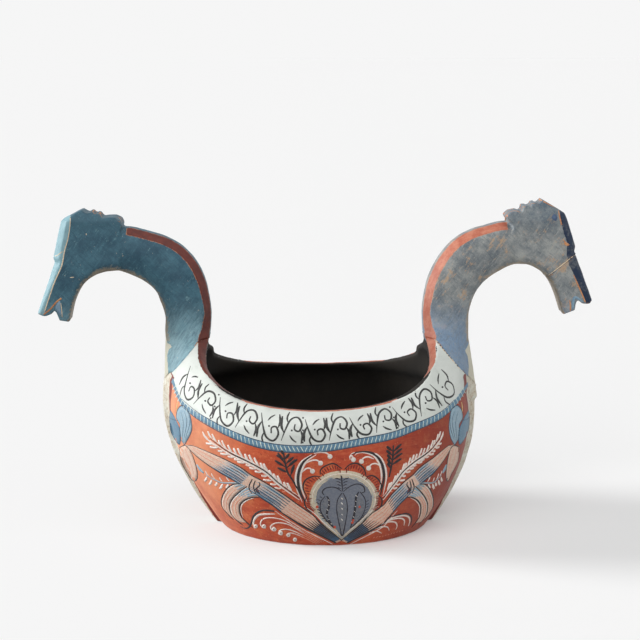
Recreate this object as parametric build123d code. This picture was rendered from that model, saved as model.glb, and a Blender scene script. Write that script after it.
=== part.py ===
"""Norwegian ale bowl (kjenge): a round carved bowl with two horse heads as handles.

Millimetres, +Z up, +X along the length towards the right head. The origin is the
centre of the flat foot, on the table. The bowl leans a little to the left, as the
hand-carved one does.
"""
from build123d import *
import os
from math import cos, hypot, pi, sin, sqrt

# Bowl: outer form. The shoulder closes in from the belly to the rim.
FOOT_RADIUS = 84.5
BELLY_RADIUS = 123.5
BELLY_HEIGHT = 98.5
BELLY_FULLNESS = 1.9
SHOULDER_INSET = 15.0
RIM_RADIUS = BELLY_RADIUS - SHOULDER_INSET
RIM_HEIGHT = 113.0
RIM_LEAN = -5.9
LEAN_POWER = 1.6

# Saddle of the rim, which climbs from the long sides to the backs of the necks. A
# share of the rise comes early and the rest in the last stretch before the necks. The
# margin is the wood left in the corner below a neck's back. The rear is sawn lower.
NECK_INSET = 21.5
SADDLE_REACH = RIM_RADIUS - NECK_INSET
SADDLE_RISE = 21.6
SADDLE_EARLY = 0.42
SADDLE_MARGIN = 5.0
REAR_DROP = 1.0
REAR_RISE = 16.8
REAR_EARLY = 0.64
REAR_MARGIN = 1.0

# Hollow
SIDE_WALL = 10.5
RIM_WALL = 8.5
FLOOR_THICKNESS = 14.0
FLOOR_ROUNDING = 12.0
SHOULDER_HOLLOWING = 1.5
MOUTH_TAPER = 0.3
END_TAPER = 2.0
NECK_UNDERCUT = 2.5
UNDERCUT_RISE = 7.0

# Stems that run down both ends of the bowl
STEM_DEPTH = 4.5
STEM_HALF_WIDTH = 9.0
STEM_BEVEL = 5.0
STEM_TOP = 121.0
STEM_SPREAD = 11.25

# Necks: front to back, side to side, and the bevels along their edges
NECK_DEPTH = 36.4
NECK_HALF_WIDTH = 19.5
NECK_BACK_HALF = 6.0
NECK_BEVEL = 5.5
NECK_BEVEL_WIDTH = 10.0
BEVEL_NARROWING = 1.5
THROAT_CORNER = 0.7
THROAT_NARROWING = 1.0
LEFT_BREAST_FLARE = 1.5
RIGHT_BREAST_FLARE = 6.5

# Heads. The margin clears the crest and the nose when their taper is cut.
HEAD_HALF_WIDTH = 16.5
HEAD_BEVEL = 5.5
MUZZLE_HALF_WIDTH = 12.5
CREST_HALF_WIDTH = 11.0
CHEEK_SLANT = 0.35
HEAD_MARGIN = 1.0

# Joint between each neck and the bowl: a flat shoulder at the back, then a slope
JOINT_HEIGHT = 154.0
JOINT_SHOULDER = 8.0
JOINT_SLOPE = 1.16
JOINT_REACH = 60.0
DOWEL_RADIUS = 4.5
DOWEL_LENGTH = 44.0
DOWEL_SPACING = 20.0
DOWEL_OFFSET = 2.0

# Joint across the right muzzle
MUZZLE_DOWEL_RADIUS = 3.5
MUZZLE_DOWEL_LENGTH = 22.0

# Play of a dowel in its hole, and the air left at each of its ends
DOWEL_CLEARANCE = 0.15
DOWEL_END_CLEARANCE = 0.5

# Root of a neck, from the height where it leaves the ring of the bowl upwards.
# Heights are above the rim, lengths are outwards from the back of the neck.
# Each row: height, back edge, half width of the back, edge of the side, half width
# there, middle of the side, half width there, half width at the breast corner.
# None stands for the rim's own circle.
NECK_ROOT = (
    (-10.0, -60.0, 86.0, -60.0, 92.0, 8.0, 61.5, 13.5),
    (-1.0, -45.0, 81.0, -45.0, 94.0, 10.5, 62.5, 14.5),
    (8.0, -29.0, 74.0, -29.0, None, 13.0, 63.5, 15.5),
    (15.0, -13.0, 62.0, -13.0, None, 17.5, 54.8, 15.5),
    (22.0, 0.0, 47.0, -0.2, None, 20.2, 44.0, 15.5),
    (28.0, 2.0, 38.0, 5.0, 52.0, 21.0, 34.5, 15.2),
    (34.0, 1.8, 26.0, 7.5, 40.0, 21.5, 28.5, 15.0),
    (41.0, 0.0, 15.0, 8.3, 29.0, 21.0, 24.5, 14.5),
    (50.0, -1.0, 8.0, 6.3, 21.0, 20.0, 21.5, 14.0),
    (60.0, -1.6, 6.0, 4.3, 17.0, 18.0, 20.0, 13.5),
)

# Arch of each neck: back edge and throat edge of each cross-section, as length
# outwards from the back of the neck and height above the rim.
ARCH_RIGHT = (
    (-0.6, 71.0, 39.2, 70.0),
    (2.5, 86.0, 41.8, 76.5),
    (10.3, 103.3, 48.3, 85.0),
    (22.8, 118.4, 57.0, 91.8),
    (38.0, 127.4, 66.0, 96.6),
    (54.0, 132.2, 75.0, 99.2),
    (70.0, 132.8, 83.0, 99.4),
)
ARCH_LEFT = (
    (-0.6, 70.0, 40.0, 70.0),
    (2.4, 85.0, 42.5, 76.5),
    (9.6, 101.5, 48.5, 83.5),
    (21.0, 114.3, 56.5, 88.6),
    (37.0, 123.2, 66.0, 92.8),
    (54.0, 128.2, 74.5, 95.0),
    (70.0, 130.0, 83.0, 94.8),
)

# Outlines of the heads in the same measures. Each throat is a curve, each face a
# chain of straight cuts from the jaw round the nose and over the crest.
THROAT_RIGHT = (
    (70.0, 99.8),
    (86.0, 98.1),
    (97.8, 90.0),
    (106.4, 75.6),
    (112.3, 58.0),
)
FACE_RIGHT = (
    (122.2, 62.0),
    (123.7, 71.5),
    (127.0, 67.6),
    (134.2, 66.8),
    (136.6, 70.0),
    (121.0, 110.5),
    (122.0, 114.3),
    (115.0, 135.6),
    (112.4, 141.6),
    (94.6, 152.3),
    (90.5, 148.0),
    (89.0, 150.2),
    (86.0, 149.9),
    (84.1, 145.2),
    (82.6, 147.6),
    (78.6, 147.3),
    (78.0, 141.7),
    (74.5, 143.6),
    (68.1, 142.4),
    (64.5, 138.8),
    (66.5, 135.2),
    (70.0, 132.0),
)
THROAT_LEFT = (
    (70.0, 95.2),
    (85.0, 93.8),
    (98.1, 87.0),
    (107.0, 74.0),
    (112.5, 53.7),
)
FACE_LEFT = (
    (121.0, 55.1),
    (124.7, 64.5),
    (126.2, 60.4),
    (133.6, 58.2),
    (139.0, 60.5),
    (123.8, 103.4),
    (125.4, 105.6),
    (118.4, 136.2),
    (114.8, 138.4),
    (101.6, 145.0),
    (96.4, 141.6),
    (94.6, 143.9),
    (92.8, 143.8),
    (91.0, 140.8),
    (89.0, 142.6),
    (87.2, 141.8),
    (85.1, 138.3),
    (81.9, 139.0),
    (75.4, 139.4),
    (70.6, 136.9),
    (68.5, 132.5),
    (70.0, 129.2),
)

# The corners of each face between which its front edge is bevelled
NOSE_FIRST = 3
NOSE_LAST = 8

# Where the right muzzle's joint crosses the throat side and the nose side
MUZZLE_JOINT_BACK = (102.1, 92.3)
MUZZLE_JOINT_FRONT = (116.8, 104.3)


def lean(z):
    """Sideways shift of the bowl's centre at a height."""
    return RIM_LEAN * min(z / RIM_HEIGHT, 1.0) ** LEAN_POWER


def side_radius(z):
    """Outer radius of the bowl below its belly."""
    share = 1.0 - z / BELLY_HEIGHT
    return FOOT_RADIUS + (BELLY_RADIUS - FOOT_RADIUS) * (1.0 - share**BELLY_FULLNESS)


def saddle(x, rise, early):
    """Rise of the sawn rim at a length from the centre."""
    t = min(abs(x) / SADDLE_REACH, 1.0)
    return rise * (early * t**2 + (1.0 - early) * t**7)


def shoulder_radius(z, angle):
    """Outer radius above the belly, where the wall closes in towards the rim."""
    toward_end = max(0.0, cos(angle) ** 2 - 0.5) * 2.0
    front_rise = saddle(RIM_RADIUS * cos(angle), SADDLE_RISE, SADDLE_EARLY)
    top = RIM_HEIGHT + front_rise + SADDLE_RISE * toward_end
    climb = min((z - BELLY_HEIGHT) / (top - BELLY_HEIGHT), 1.0)
    closing = (BELLY_RADIUS - RIM_RADIUS) * (1.0 - toward_end**4)
    return BELLY_RADIUS - closing * climb**2


def disc(z, radius):
    """Horizontal round section of the bowl."""
    return Plane.XY.offset(z) * Pos(lean(z), 0) * Circle(radius)


def shoulder_section(z):
    """Horizontal section of the shoulder, fuller towards the necks."""
    steps = 24
    points = []
    for i in range(steps):
        angle = 2.0 * pi * i / steps
        radius = shoulder_radius(z, angle)
        points.append((lean(z) + radius * cos(angle), radius * sin(angle), z))
    return Face(Wire([Spline(points, periodic=True)]))


def bowl_outside():
    """The solid bowl up to the height where the necks part from each other."""
    sections = []
    for share in (0.0, 0.1, 0.22, 0.36, 0.52, 0.7, 0.85, 1.0):
        z = BELLY_HEIGHT * share
        sections.append(disc(z, side_radius(z)))
    lower = loft(sections)
    upper_sections = [sections[-1]]
    shoulder = RIM_HEIGHT - BELLY_HEIGHT
    for share in (0.3, 0.65, 1.0, 1.35, 1.7):
        upper_sections.append(shoulder_section(BELLY_HEIGHT + shoulder * share))
    return lower + loft(upper_sections)


def neck_section(back, throat, halves, bevels, middle):
    """Eight-sided cross-section of a neck, from its back to its throat.

    halves: half widths of the back, the side's back edge, the side's middle, the
    throat corner and the throat; bevels: depths of the back and throat bevels;
    middle: where the side is widest.
    """
    along = Vector(throat[0] - back[0], 0, throat[1] - back[1])
    depth = along.length
    along = along.normalized()

    def corner(distance, half):
        spot = Vector(back[0], 0, back[1]) + along * distance
        return [Vector(spot.X, side * half, spot.Z) for side in (1, -1)]

    back_edge = corner(0, halves[0])
    side_edge = corner(bevels[0], halves[1])
    side_middle = corner(middle, halves[2])
    throat_corner = corner(depth - bevels[1], halves[3])
    throat_edge = corner(depth, halves[4])
    edges = [
        Line(back_edge[0], side_edge[0]),
        ThreePointArc(side_edge[0], side_middle[0], throat_corner[0]),
        Line(throat_corner[0], throat_edge[0]),
        Line(throat_edge[0], throat_edge[1]),
        Line(throat_edge[1], throat_corner[1]),
        ThreePointArc(throat_corner[1], side_middle[1], side_edge[1]),
        Line(side_edge[1], back_edge[1]),
        Line(back_edge[1], back_edge[0]),
    ]
    return Face(Wire(edges))


def root_section(row, breast_flare):
    """Horizontal cross-section of a neck's root."""
    height, back, back_half, side, side_half, middle, middle_half, corner_half = row
    x = SADDLE_REACH + side
    if side_half is None:
        side_half = sqrt(RIM_RADIUS**2 - x**2)
    z = RIM_HEIGHT + height
    flare = breast_flare * max(0.0, 1.0 - height / (JOINT_HEIGHT - RIM_HEIGHT))
    halves = (back_half, side_half, middle_half, corner_half, STEM_HALF_WIDTH)
    return neck_section(
        (SADDLE_REACH + back, z),
        (SADDLE_REACH + NECK_DEPTH + flare, z),
        halves,
        (side - back, STEM_BEVEL),
        middle - back,
    )


def arch_section(row, share):
    """Cross-section of a neck's arch; share runs from 0 at its foot to 1 at its head."""
    back_x, back_z, throat_x, throat_z = row
    half = NECK_HALF_WIDTH + (HEAD_HALF_WIDTH - NECK_HALF_WIDTH) * share
    side_edge = NECK_BACK_HALF + NECK_BEVEL_WIDTH - BEVEL_NARROWING * share
    throat = STEM_HALF_WIDTH - THROAT_NARROWING
    halves = (NECK_BACK_HALF, side_edge, half, THROAT_CORNER * half, throat)
    depth = hypot(throat_x - back_x, throat_z - back_z)
    return neck_section(
        (SADDLE_REACH + back_x, RIM_HEIGHT + back_z),
        (SADDLE_REACH + throat_x, RIM_HEIGHT + throat_z),
        halves,
        (NECK_BEVEL, STEM_BEVEL),
        0.5 * depth,
    )


def neck(arch, breast_flare):
    """One neck, drawn towards +X from the centre of the rim."""
    sections = [root_section(row, breast_flare) for row in NECK_ROOT]
    last = len(arch) - 1
    for i, row in enumerate(arch):
        sections.append(arch_section(row, i / last))
    return loft(sections)


def head_outline(throat, face, y, inset):
    """Side view of a head at one depth, its front and throat drawn in by inset."""
    throat_points = []
    for x, z in throat:
        throat_points.append((x + CHEEK_SLANT * inset, z + inset))
    face_points = []
    for i, (x, z) in enumerate(face):
        front = NOSE_FIRST <= i <= NOSE_LAST
        face_points.append((x - inset if front else x, z))

    def place(point):
        return Vector(SADDLE_REACH + point[0], y, RIM_HEIGHT + point[1])

    corners = [throat_points[-1], *face_points, throat_points[0]]
    edges = [Spline([place(p) for p in throat_points])]
    for start, end in zip(corners, corners[1:]):
        edges.append(Line(place(start), place(end)))
    return Face(Wire(edges))


def head(throat, face):
    """One horse head, flat-sided, with its front and throat edges bevelled."""
    inner = HEAD_HALF_WIDTH - HEAD_BEVEL
    depths = (
        (-HEAD_HALF_WIDTH, HEAD_BEVEL),
        (-inner, 0.0),
        (inner, 0.0),
        (HEAD_HALF_WIDTH, HEAD_BEVEL),
    )
    outlines = [head_outline(throat, face, y, inset) for y, inset in depths]
    return loft(outlines, ruled=True) & head_taper(face)


def head_taper(face):
    """Front view of a head: slimmer at the muzzle and at the crest."""
    jaw = RIM_HEIGHT + face[0][1] - HEAD_BEVEL
    cheek = RIM_HEIGHT + face[5][1]
    brow = RIM_HEIGHT + face[7][1]
    crest = RIM_HEIGHT + face[9][1] + HEAD_MARGIN
    half = (
        (MUZZLE_HALF_WIDTH, jaw),
        (HEAD_HALF_WIDTH, cheek),
        (HEAD_HALF_WIDTH, brow),
        (CREST_HALF_WIDTH, crest),
    )
    points = list(half) + [(-width, z) for width, z in reversed(half)]
    profile = Plane.YZ * make_face(Polyline(*points, close=True))
    return extrude(profile, amount=SADDLE_REACH + face[4][0] + 5.0 * HEAD_MARGIN)


def stem(direction, breast_flare):
    """The raised strip down one end of the bowl, drawn towards +X."""
    breast = SADDLE_REACH + NECK_DEPTH + breast_flare
    sections = []
    for share in (0.0, 0.12, 0.3, 0.55, 0.8, 1.0):
        z = STEM_TOP * share
        radius = side_radius(min(z, BELLY_HEIGHT))
        crown = min(radius + STEM_DEPTH, breast + STEM_SPREAD * (1.0 - share))
        shift = direction * (lean(z) - RIM_LEAN)
        points = [
            (shift + radius - STEM_DEPTH, STEM_HALF_WIDTH + STEM_BEVEL),
            (shift + crown, STEM_HALF_WIDTH),
            (shift + crown, -STEM_HALF_WIDTH),
            (shift + radius - STEM_DEPTH, -STEM_HALF_WIDTH - STEM_BEVEL),
        ]
        sections.append(Plane.XY.offset(z) * make_face(Polyline(*points, close=True)))
    return loft(sections)


def side_of(shape, direction):
    """Puts a shape drawn towards +X on the right (1) or the left (-1) of the rim."""
    if direction < 0:
        shape = mirror(shape, about=Plane.YZ)
    return Pos(RIM_LEAN, 0, 0) * shape


def above_rim(low, rise, early, margin, side):
    """Everything over the sawn rim on the front (-1) or the rear (1) side."""
    steps = 12
    points = []
    for i in range(-steps, steps + 1):
        x = SADDLE_REACH * i / steps
        points.append((x, 0, low + saddle(x, rise, early)))
    top = RIM_HEIGHT + 3.0 * SADDLE_RISE
    end = points[-1][2]
    inner = SADDLE_REACH - margin
    outline = Polyline(
        points[-1],
        (inner, 0, end + margin),
        (inner, 0, top),
        (-inner, 0, top),
        (-inner, 0, end + margin),
        points[0],
    )
    face = Face(Wire([Spline(points)] + outline.edges()))
    depth = Vector(0, side * 2.0 * RIM_RADIUS, 0)
    return Pos(RIM_LEAN, 0, 0) * Solid.extrude(face, depth)


def hollow():
    """The inside of the bowl, undercut below the rim and closing in under the necks."""
    mouth = RIM_RADIUS - RIM_WALL
    belly = BELLY_RADIUS - SIDE_WALL
    ends = RIM_HEIGHT + SADDLE_RISE
    sections = []
    for share in (0.0, 0.1, 0.25, 0.5, 0.8, 1.0):
        z = FLOOR_THICKNESS + (BELLY_HEIGHT - FLOOR_THICKNESS) * share
        sections.append(disc(z, side_radius(z) - SIDE_WALL - FLOOR_ROUNDING * (1.0 - share) ** 4))
    middle = 0.5 * (BELLY_HEIGHT + RIM_HEIGHT)
    sections.append(disc(middle, 0.5 * (belly + mouth) + SHOULDER_HOLLOWING))
    sections.append(disc(RIM_HEIGHT, mouth))
    sections.append(disc(0.5 * (RIM_HEIGHT + ends), mouth - MOUTH_TAPER))
    sections.append(disc(ends, mouth - END_TAPER))
    sections.append(disc(ends + UNDERCUT_RISE, SADDLE_REACH + NECK_UNDERCUT))
    return loft(sections)


def above_joint(direction):
    """The space over a neck's joint: a flat shoulder, then a slope down to the breast."""
    inner = SADDLE_REACH - JOINT_SHOULDER - DOWEL_OFFSET
    fold = SADDLE_REACH + JOINT_SHOULDER
    points = (
        (inner, 0, JOINT_HEIGHT),
        (fold, 0, JOINT_HEIGHT),
        (fold + JOINT_REACH, 0, JOINT_HEIGHT - JOINT_REACH * JOINT_SLOPE),
        (fold + 3 * JOINT_REACH, 0, JOINT_HEIGHT),
        (fold + 3 * JOINT_REACH, 0, 3 * JOINT_HEIGHT),
        (inner, 0, 3 * JOINT_HEIGHT),
    )
    face = make_face(Polyline(*points, close=True))
    return side_of(extrude(face, amount=RIM_RADIUS, both=True), direction)


def joint_spot():
    """Middle of the sloping joint, outwards from the rim's centre and up."""
    x = SADDLE_REACH + 0.5 * (JOINT_SHOULDER + NECK_DEPTH) + DOWEL_OFFSET
    z = JOINT_HEIGHT - (x - SADDLE_REACH - JOINT_SHOULDER) * JOINT_SLOPE
    return x, z


def neck_dowels(direction, radius, length):
    """Two upright dowels, or their holes, across one neck's joint."""
    x, z = joint_spot()
    pins = []
    for side in (1, -1):
        spot = Pos(x, side * 0.5 * DOWEL_SPACING, z)
        pins.append(side_of(spot * Cylinder(radius, length), direction))
    return pins


def muzzle_joint():
    """Plane of the joint across the right muzzle, its normal towards the nose."""
    start = Vector(RIM_LEAN + SADDLE_REACH, 0, RIM_HEIGHT)
    back = start + Vector(MUZZLE_JOINT_BACK[0], 0, MUZZLE_JOINT_BACK[1])
    front = start + Vector(MUZZLE_JOINT_FRONT[0], 0, MUZZLE_JOINT_FRONT[1])
    across = (front - back).normalized()
    normal = Vector(across.Z, 0, -across.X)
    return Plane(origin=(back + front) * 0.5, x_dir=across, z_dir=normal)


def hole_size(radius, length):
    """Radius and length of the hole that a dowel sits in."""
    return radius + DOWEL_CLEARANCE, length + 2.0 * DOWEL_END_CLEARANCE


def bowl_with_necks(necks):
    """The bowl carved out, with both necks still standing on it."""
    body = bowl_outside()
    for direction, flare in ((1, RIGHT_BREAST_FLARE), (-1, LEFT_BREAST_FLARE)):
        body += necks[direction] + side_of(stem(direction, flare), direction)
    body -= hollow()
    low = RIM_HEIGHT - REAR_DROP
    body -= above_rim(RIM_HEIGHT, SADDLE_RISE, SADDLE_EARLY, SADDLE_MARGIN, -1)
    body -= above_rim(low, REAR_RISE, REAR_EARLY, REAR_MARGIN, 1)
    return body


def split_muzzle(handle):
    """The right handle without its muzzle, the muzzle and the dowel between them."""
    plane = muzzle_joint()
    reach = 4.0 * HEAD_HALF_WIDTH
    nose_side = plane * Pos(0, 0, 0.5 * reach) * Box(reach, reach, reach)
    hole = plane * Cylinder(*hole_size(MUZZLE_DOWEL_RADIUS, MUZZLE_DOWEL_LENGTH))
    dowel = plane * Cylinder(MUZZLE_DOWEL_RADIUS, MUZZLE_DOWEL_LENGTH)
    return handle - nose_side - hole, (handle & nose_side) - hole, dowel


def build():
    """Every piece of the bowl by name."""
    necks = {
        1: side_of(neck(ARCH_RIGHT, RIGHT_BREAST_FLARE), 1),
        -1: side_of(neck(ARCH_LEFT, LEFT_BREAST_FLARE), -1),
    }
    heads = {
        1: side_of(head(THROAT_RIGHT, FACE_RIGHT), 1),
        -1: side_of(head(THROAT_LEFT, FACE_LEFT), -1),
    }
    pieces = {}
    body = bowl_with_necks(necks)
    for side, direction in (("right", 1), ("left", -1)):
        joint = above_joint(direction)
        body -= joint
        handle = (necks[direction] & joint) + heads[direction]
        for hole in neck_dowels(direction, *hole_size(DOWEL_RADIUS, DOWEL_LENGTH)):
            body -= hole
            handle -= hole
        rear, front = neck_dowels(direction, DOWEL_RADIUS, DOWEL_LENGTH)
        pieces[side + "_horse_handle"] = handle
        pieces[side + "_dowel_rear"] = rear
        pieces[side + "_dowel_front"] = front
    pieces["bowl_body"] = body

    handle, muzzle, dowel = split_muzzle(pieces["right_horse_handle"])
    pieces["right_horse_handle"] = handle
    pieces["right_muzzle"] = muzzle
    pieces["muzzle_dowel"] = dowel
    return pieces


os.makedirs("parts", exist_ok=True)
for name, shape in build().items():
    export_step(shape, "parts/" + name + ".step")
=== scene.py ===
"""Looks of the Norwegian ale bowl: carved surfaces, painted ornament, light and camera.

Metres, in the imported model's frame: +Z up, the origin at the centre of the foot, +X
towards the right horse head. Ornament is drawn where the photograph shows it, in
pixels of its 640 x 640 frame, and laid on the bowl along the camera's rays. The side
that the photograph hides carries the same ornament, turned half round.
"""
import math
import random

import bmesh
import bpy
import numpy as np
from mathutils import Matrix, Vector, noise
from mathutils.bvhtree import BVHTree


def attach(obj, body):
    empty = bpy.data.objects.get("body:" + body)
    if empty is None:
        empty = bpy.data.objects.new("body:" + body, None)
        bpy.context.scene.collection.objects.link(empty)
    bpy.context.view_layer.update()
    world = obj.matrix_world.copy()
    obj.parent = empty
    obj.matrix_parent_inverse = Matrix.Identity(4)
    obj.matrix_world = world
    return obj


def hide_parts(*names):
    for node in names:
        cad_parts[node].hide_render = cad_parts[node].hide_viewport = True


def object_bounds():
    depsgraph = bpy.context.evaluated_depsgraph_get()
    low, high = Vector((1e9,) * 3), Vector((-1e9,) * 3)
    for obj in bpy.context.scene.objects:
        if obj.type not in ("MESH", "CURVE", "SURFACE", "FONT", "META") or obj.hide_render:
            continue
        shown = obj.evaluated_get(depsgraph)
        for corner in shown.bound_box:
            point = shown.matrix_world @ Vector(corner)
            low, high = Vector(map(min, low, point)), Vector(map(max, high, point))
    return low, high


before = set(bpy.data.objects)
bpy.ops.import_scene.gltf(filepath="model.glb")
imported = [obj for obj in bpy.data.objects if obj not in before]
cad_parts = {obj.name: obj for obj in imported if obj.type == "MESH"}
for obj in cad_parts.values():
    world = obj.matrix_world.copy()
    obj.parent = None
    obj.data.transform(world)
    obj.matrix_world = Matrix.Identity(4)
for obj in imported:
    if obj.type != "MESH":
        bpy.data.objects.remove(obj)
cad_low, cad_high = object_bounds()

MM = 0.001

# Camera, as fitted to the photograph
PHOTO_SIZE = 640
PIXEL = 0.815 * MM
CAMERA_DISTANCE = 1.5
CAMERA_ELEVATION = math.radians(8.8)
CAMERA_YAW = math.radians(-1.5)
TARGET = Vector((-3.4 * MM, 0.0, 166.3 * MM))
SENSOR = 36.0

# The bowl's main sizes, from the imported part
RIM_CENTRE_X = -5.9 * MM
RIM_HEIGHT = 113.0 * MM
RIM_OUTER = 108.5 * MM
FOOT_RADIUS = 84.5 * MM
BELLY_RADIUS = 123.5 * MM
BELLY_HEIGHT = 98.5 * MM
NECK_BACK = 87.0 * MM
HOLLOW_TOP = 141.6 * MM
ARCH_START = 183.0 * MM
HEAD_START = NECK_BACK + 70.0 * MM

# Half width of a neck's back, and of its back with the bevels, at heights over the rim
BACK_HALF = ((8, 74), (15, 62), (22, 47), (28, 38), (34, 26), (41, 15), (50, 8), (60, 6))
BEVEL_HALF = ((8, 92), (15, 80), (22, 65), (28, 52), (34, 40), (41, 29), (50, 21), (60, 17))

# How finely the carved surfaces are meshed, and how deep paint layers stand on them
BOWL_VOXEL = 1.25 * MM
HEAD_VOXEL = 0.95 * MM
INSET = 0.35 * MM
PAINT_DEPTH = 0.25 * MM
MAX_STEP = 18 * MM
STROKE_PIXEL = 0.76 * MM
STROKE_SAMPLES = 2.0
SEED = 7

# How far each colour of brushwork stands over the ground, in millimetres
LAYERS = {
    "cream": 0.08,
    "blue": 0.12,
    "light_blue": 0.11,
    "deep_blue": 0.14,
    "grey_line": 0.14,
    "pink_line": 0.17,
    "tick": 0.16,
    "white_line": 0.18,
    "red_line": 0.19,
    "blue_line": 0.20,
    "yellow": 0.18,
    "black_line": 0.23,
    "vine": 0.12,
    "cream_top": 0.13,
    "grey_blue": 0.18,
    "teal": 0.21,
    "black_top": 0.25,
    "white_top": 0.29,
    "red_dot": 0.31,
    "dark_dot": 0.32,
    "bare_line": 0.12,
    "bare_wood": 0.13,
    "eye": 0.10,
    "pale_blue": 0.10,
    "rim_thread": 0.12,
}

# Shared scene helpers


def link(obj):
    """Puts an object into the scene."""
    bpy.context.scene.collection.objects.link(obj)
    return obj


def new_mesh(name, vertices, faces, smooth=True):
    """A mesh object from plain lists."""
    mesh = bpy.data.meshes.new(name)
    mesh.from_pydata([tuple(v) for v in vertices], [], faces)
    mesh.update()
    if smooth:
        mesh.polygons.foreach_set("use_smooth", [True] * len(mesh.polygons))
    return link(bpy.data.objects.new(name, mesh))


def blend_step(value, low, high):
    """0 below low, 1 above high, smooth between."""
    t = np.clip((value - low) / (high - low), 0.0, 1.0)
    return t * t * (3.0 - 2.0 * t)


# Camera


def camera_axes():
    """Right, up and forward of the camera."""
    forward = Vector((
        -math.sin(CAMERA_YAW) * math.cos(CAMERA_ELEVATION),
        math.cos(CAMERA_YAW) * math.cos(CAMERA_ELEVATION),
        -math.sin(CAMERA_ELEVATION),
    ))
    right = Vector((math.cos(CAMERA_YAW), math.sin(CAMERA_YAW), 0.0))
    return right, right.cross(forward), forward


def add_camera():
    """The camera at the photograph's viewing angle."""
    forward = camera_axes()[2]
    data = bpy.data.cameras.new("camera")
    data.sensor_width = SENSOR
    data.lens = SENSOR * CAMERA_DISTANCE / (PIXEL * PHOTO_SIZE)
    data.clip_start = 0.05
    data.clip_end = 50.0
    obj = link(bpy.data.objects.new("camera", data))
    obj.location = TARGET - forward * CAMERA_DISTANCE
    obj.rotation_mode = "QUATERNION"
    obj.rotation_quaternion = forward.to_track_quat("-Z", "Y")
    bpy.context.scene.camera = obj


def photo_ray(x, y):
    """Start and direction of the camera's ray through a pixel of the photograph."""
    right, up, forward = camera_axes()
    focal = CAMERA_DISTANCE / PIXEL
    middle = 0.5 * PHOTO_SIZE
    direction = forward + right * ((x - middle) / focal) + up * ((middle - y) / focal)
    return TARGET - forward * CAMERA_DISTANCE, direction.normalized()


# Carved surfaces


def edges_of(mesh):
    """Edge ends of a mesh as an array."""
    ends = np.empty(len(mesh.edges) * 2, np.int32)
    mesh.edges.foreach_get("vertices", ends)
    return ends.reshape(-1, 2)


def relax(values, ends, rounds, share=0.5):
    """Averages values with their neighbours' along the mesh's edges."""
    values = np.array(values, float)
    count = np.bincount(ends.ravel(), minlength=len(values)).astype(float)
    count[count == 0] = 1.0
    for _ in range(rounds):
        total = np.zeros_like(values)
        np.add.at(total, ends[:, 0], values[ends[:, 1]])
        np.add.at(total, ends[:, 1], values[ends[:, 0]])
        mean = total / (count[:, None] if values.ndim > 1 else count)
        values += share * (mean - values)
    return values


def coordinates(mesh):
    """Vertex places as an array."""
    places = np.empty(len(mesh.vertices) * 3)
    mesh.vertices.foreach_get("co", places)
    return places.reshape(-1, 3)


def normals_of(mesh):
    """Vertex normals as an array."""
    normals = np.empty(len(mesh.vertices) * 3)
    mesh.vertices.foreach_get("normal", normals)
    return normals.reshape(-1, 3)


def add_attribute(mesh, name, values):
    """One number per vertex, read by the materials."""
    layer = mesh.attributes.new(name, "FLOAT", "POINT")
    layer.data.foreach_set("value", np.asarray(values, np.float32))


def ripple(places, amplitude, wavelength, seed):
    """Slow unevenness left by the carving knife."""
    offset = Vector((seed * 3.7, seed * 1.9, seed * 5.3))
    scale = 1.0 / wavelength
    return np.array([
        amplitude * noise.noise(Vector(p) * scale + offset) for p in places
    ])


# Which pieces meet, so that their visible surfaces meet as well
NEIGHBOURS = {
    "bowl_body": ("left_horse_handle", "right_horse_handle"),
    "left_horse_handle": ("bowl_body",),
    "right_horse_handle": ("bowl_body", "right_muzzle"),
    "right_muzzle": ("right_horse_handle",),
}
CONTACT_REACH = 0.6 * MM
CONTACT_GAP = 0.03 * MM


def close_joints(places, before, node):
    """Puts the places that touched a neighbouring piece back onto it, a hair away."""
    for other in NEIGHBOURS[node]:
        tree = surface_tree(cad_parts[other])
        for i, spot in enumerate(before):
            hit, normal, _, distance = tree.find_nearest(Vector(spot), CONTACT_REACH)
            if hit is not None:
                places[i] = hit + normal * CONTACT_GAP


def carved(name, node, voxel, soften, seed):
    """A CAD node's surface, evenly meshed, with soft arrises and knife marks."""
    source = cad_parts[node]
    obj = link(bpy.data.objects.new(name, source.data.copy()))
    obj.data.materials.clear()
    weld = obj.modifiers.new("weld", "WELD")
    weld.merge_threshold = 0.00001
    even = obj.modifiers.new("even", "REMESH")
    even.mode = "VOXEL"
    even.voxel_size = voxel
    evaluated = obj.evaluated_get(bpy.context.evaluated_depsgraph_get())
    mesh = bpy.data.meshes.new_from_object(evaluated)
    obj.modifiers.clear()
    obj.data = mesh
    mesh.name = name
    ends = edges_of(mesh)
    start = coordinates(mesh)
    smooth = relax(start, ends, soften)
    mesh.vertices.foreach_set("co", smooth.ravel())
    mesh.update()
    normals = normals_of(mesh)
    wide = relax(smooth, ends, 8)
    convex = ((smooth - wide) * normals).sum(1) / MM
    depth = ripple(smooth, 0.22 * MM, 11 * MM, seed) + ripple(smooth, 0.10 * MM, 4.5 * MM, seed + 1)
    places = smooth + normals * (depth - INSET)[:, None]
    places[:, 2] = np.maximum(places[:, 2], cad_low.z)
    close_joints(places, start, node)
    mesh.vertices.foreach_set("co", places.ravel())
    mesh.polygons.foreach_set("use_smooth", [True] * len(mesh.polygons))
    mesh.update()
    add_attribute(mesh, "worn", relax(convex, ends, 2))
    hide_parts(node)
    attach(obj, "root")
    return obj


def half_at(table, height):
    """Half width from a table of heights over the rim, in metres."""
    rows = np.array(table, float) * MM
    return np.interp(height - RIM_HEIGHT, rows[:, 0], rows[:, 1])


def side_radius(z):
    """Outer radius of the bowl below its belly, and the belly's above it."""
    share = np.clip(1.0 - z / BELLY_HEIGHT, 0.0, 1.0)
    return FOOT_RADIUS + (BELLY_RADIUS - FOOT_RADIUS) * (1.0 - share**1.9)


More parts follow.
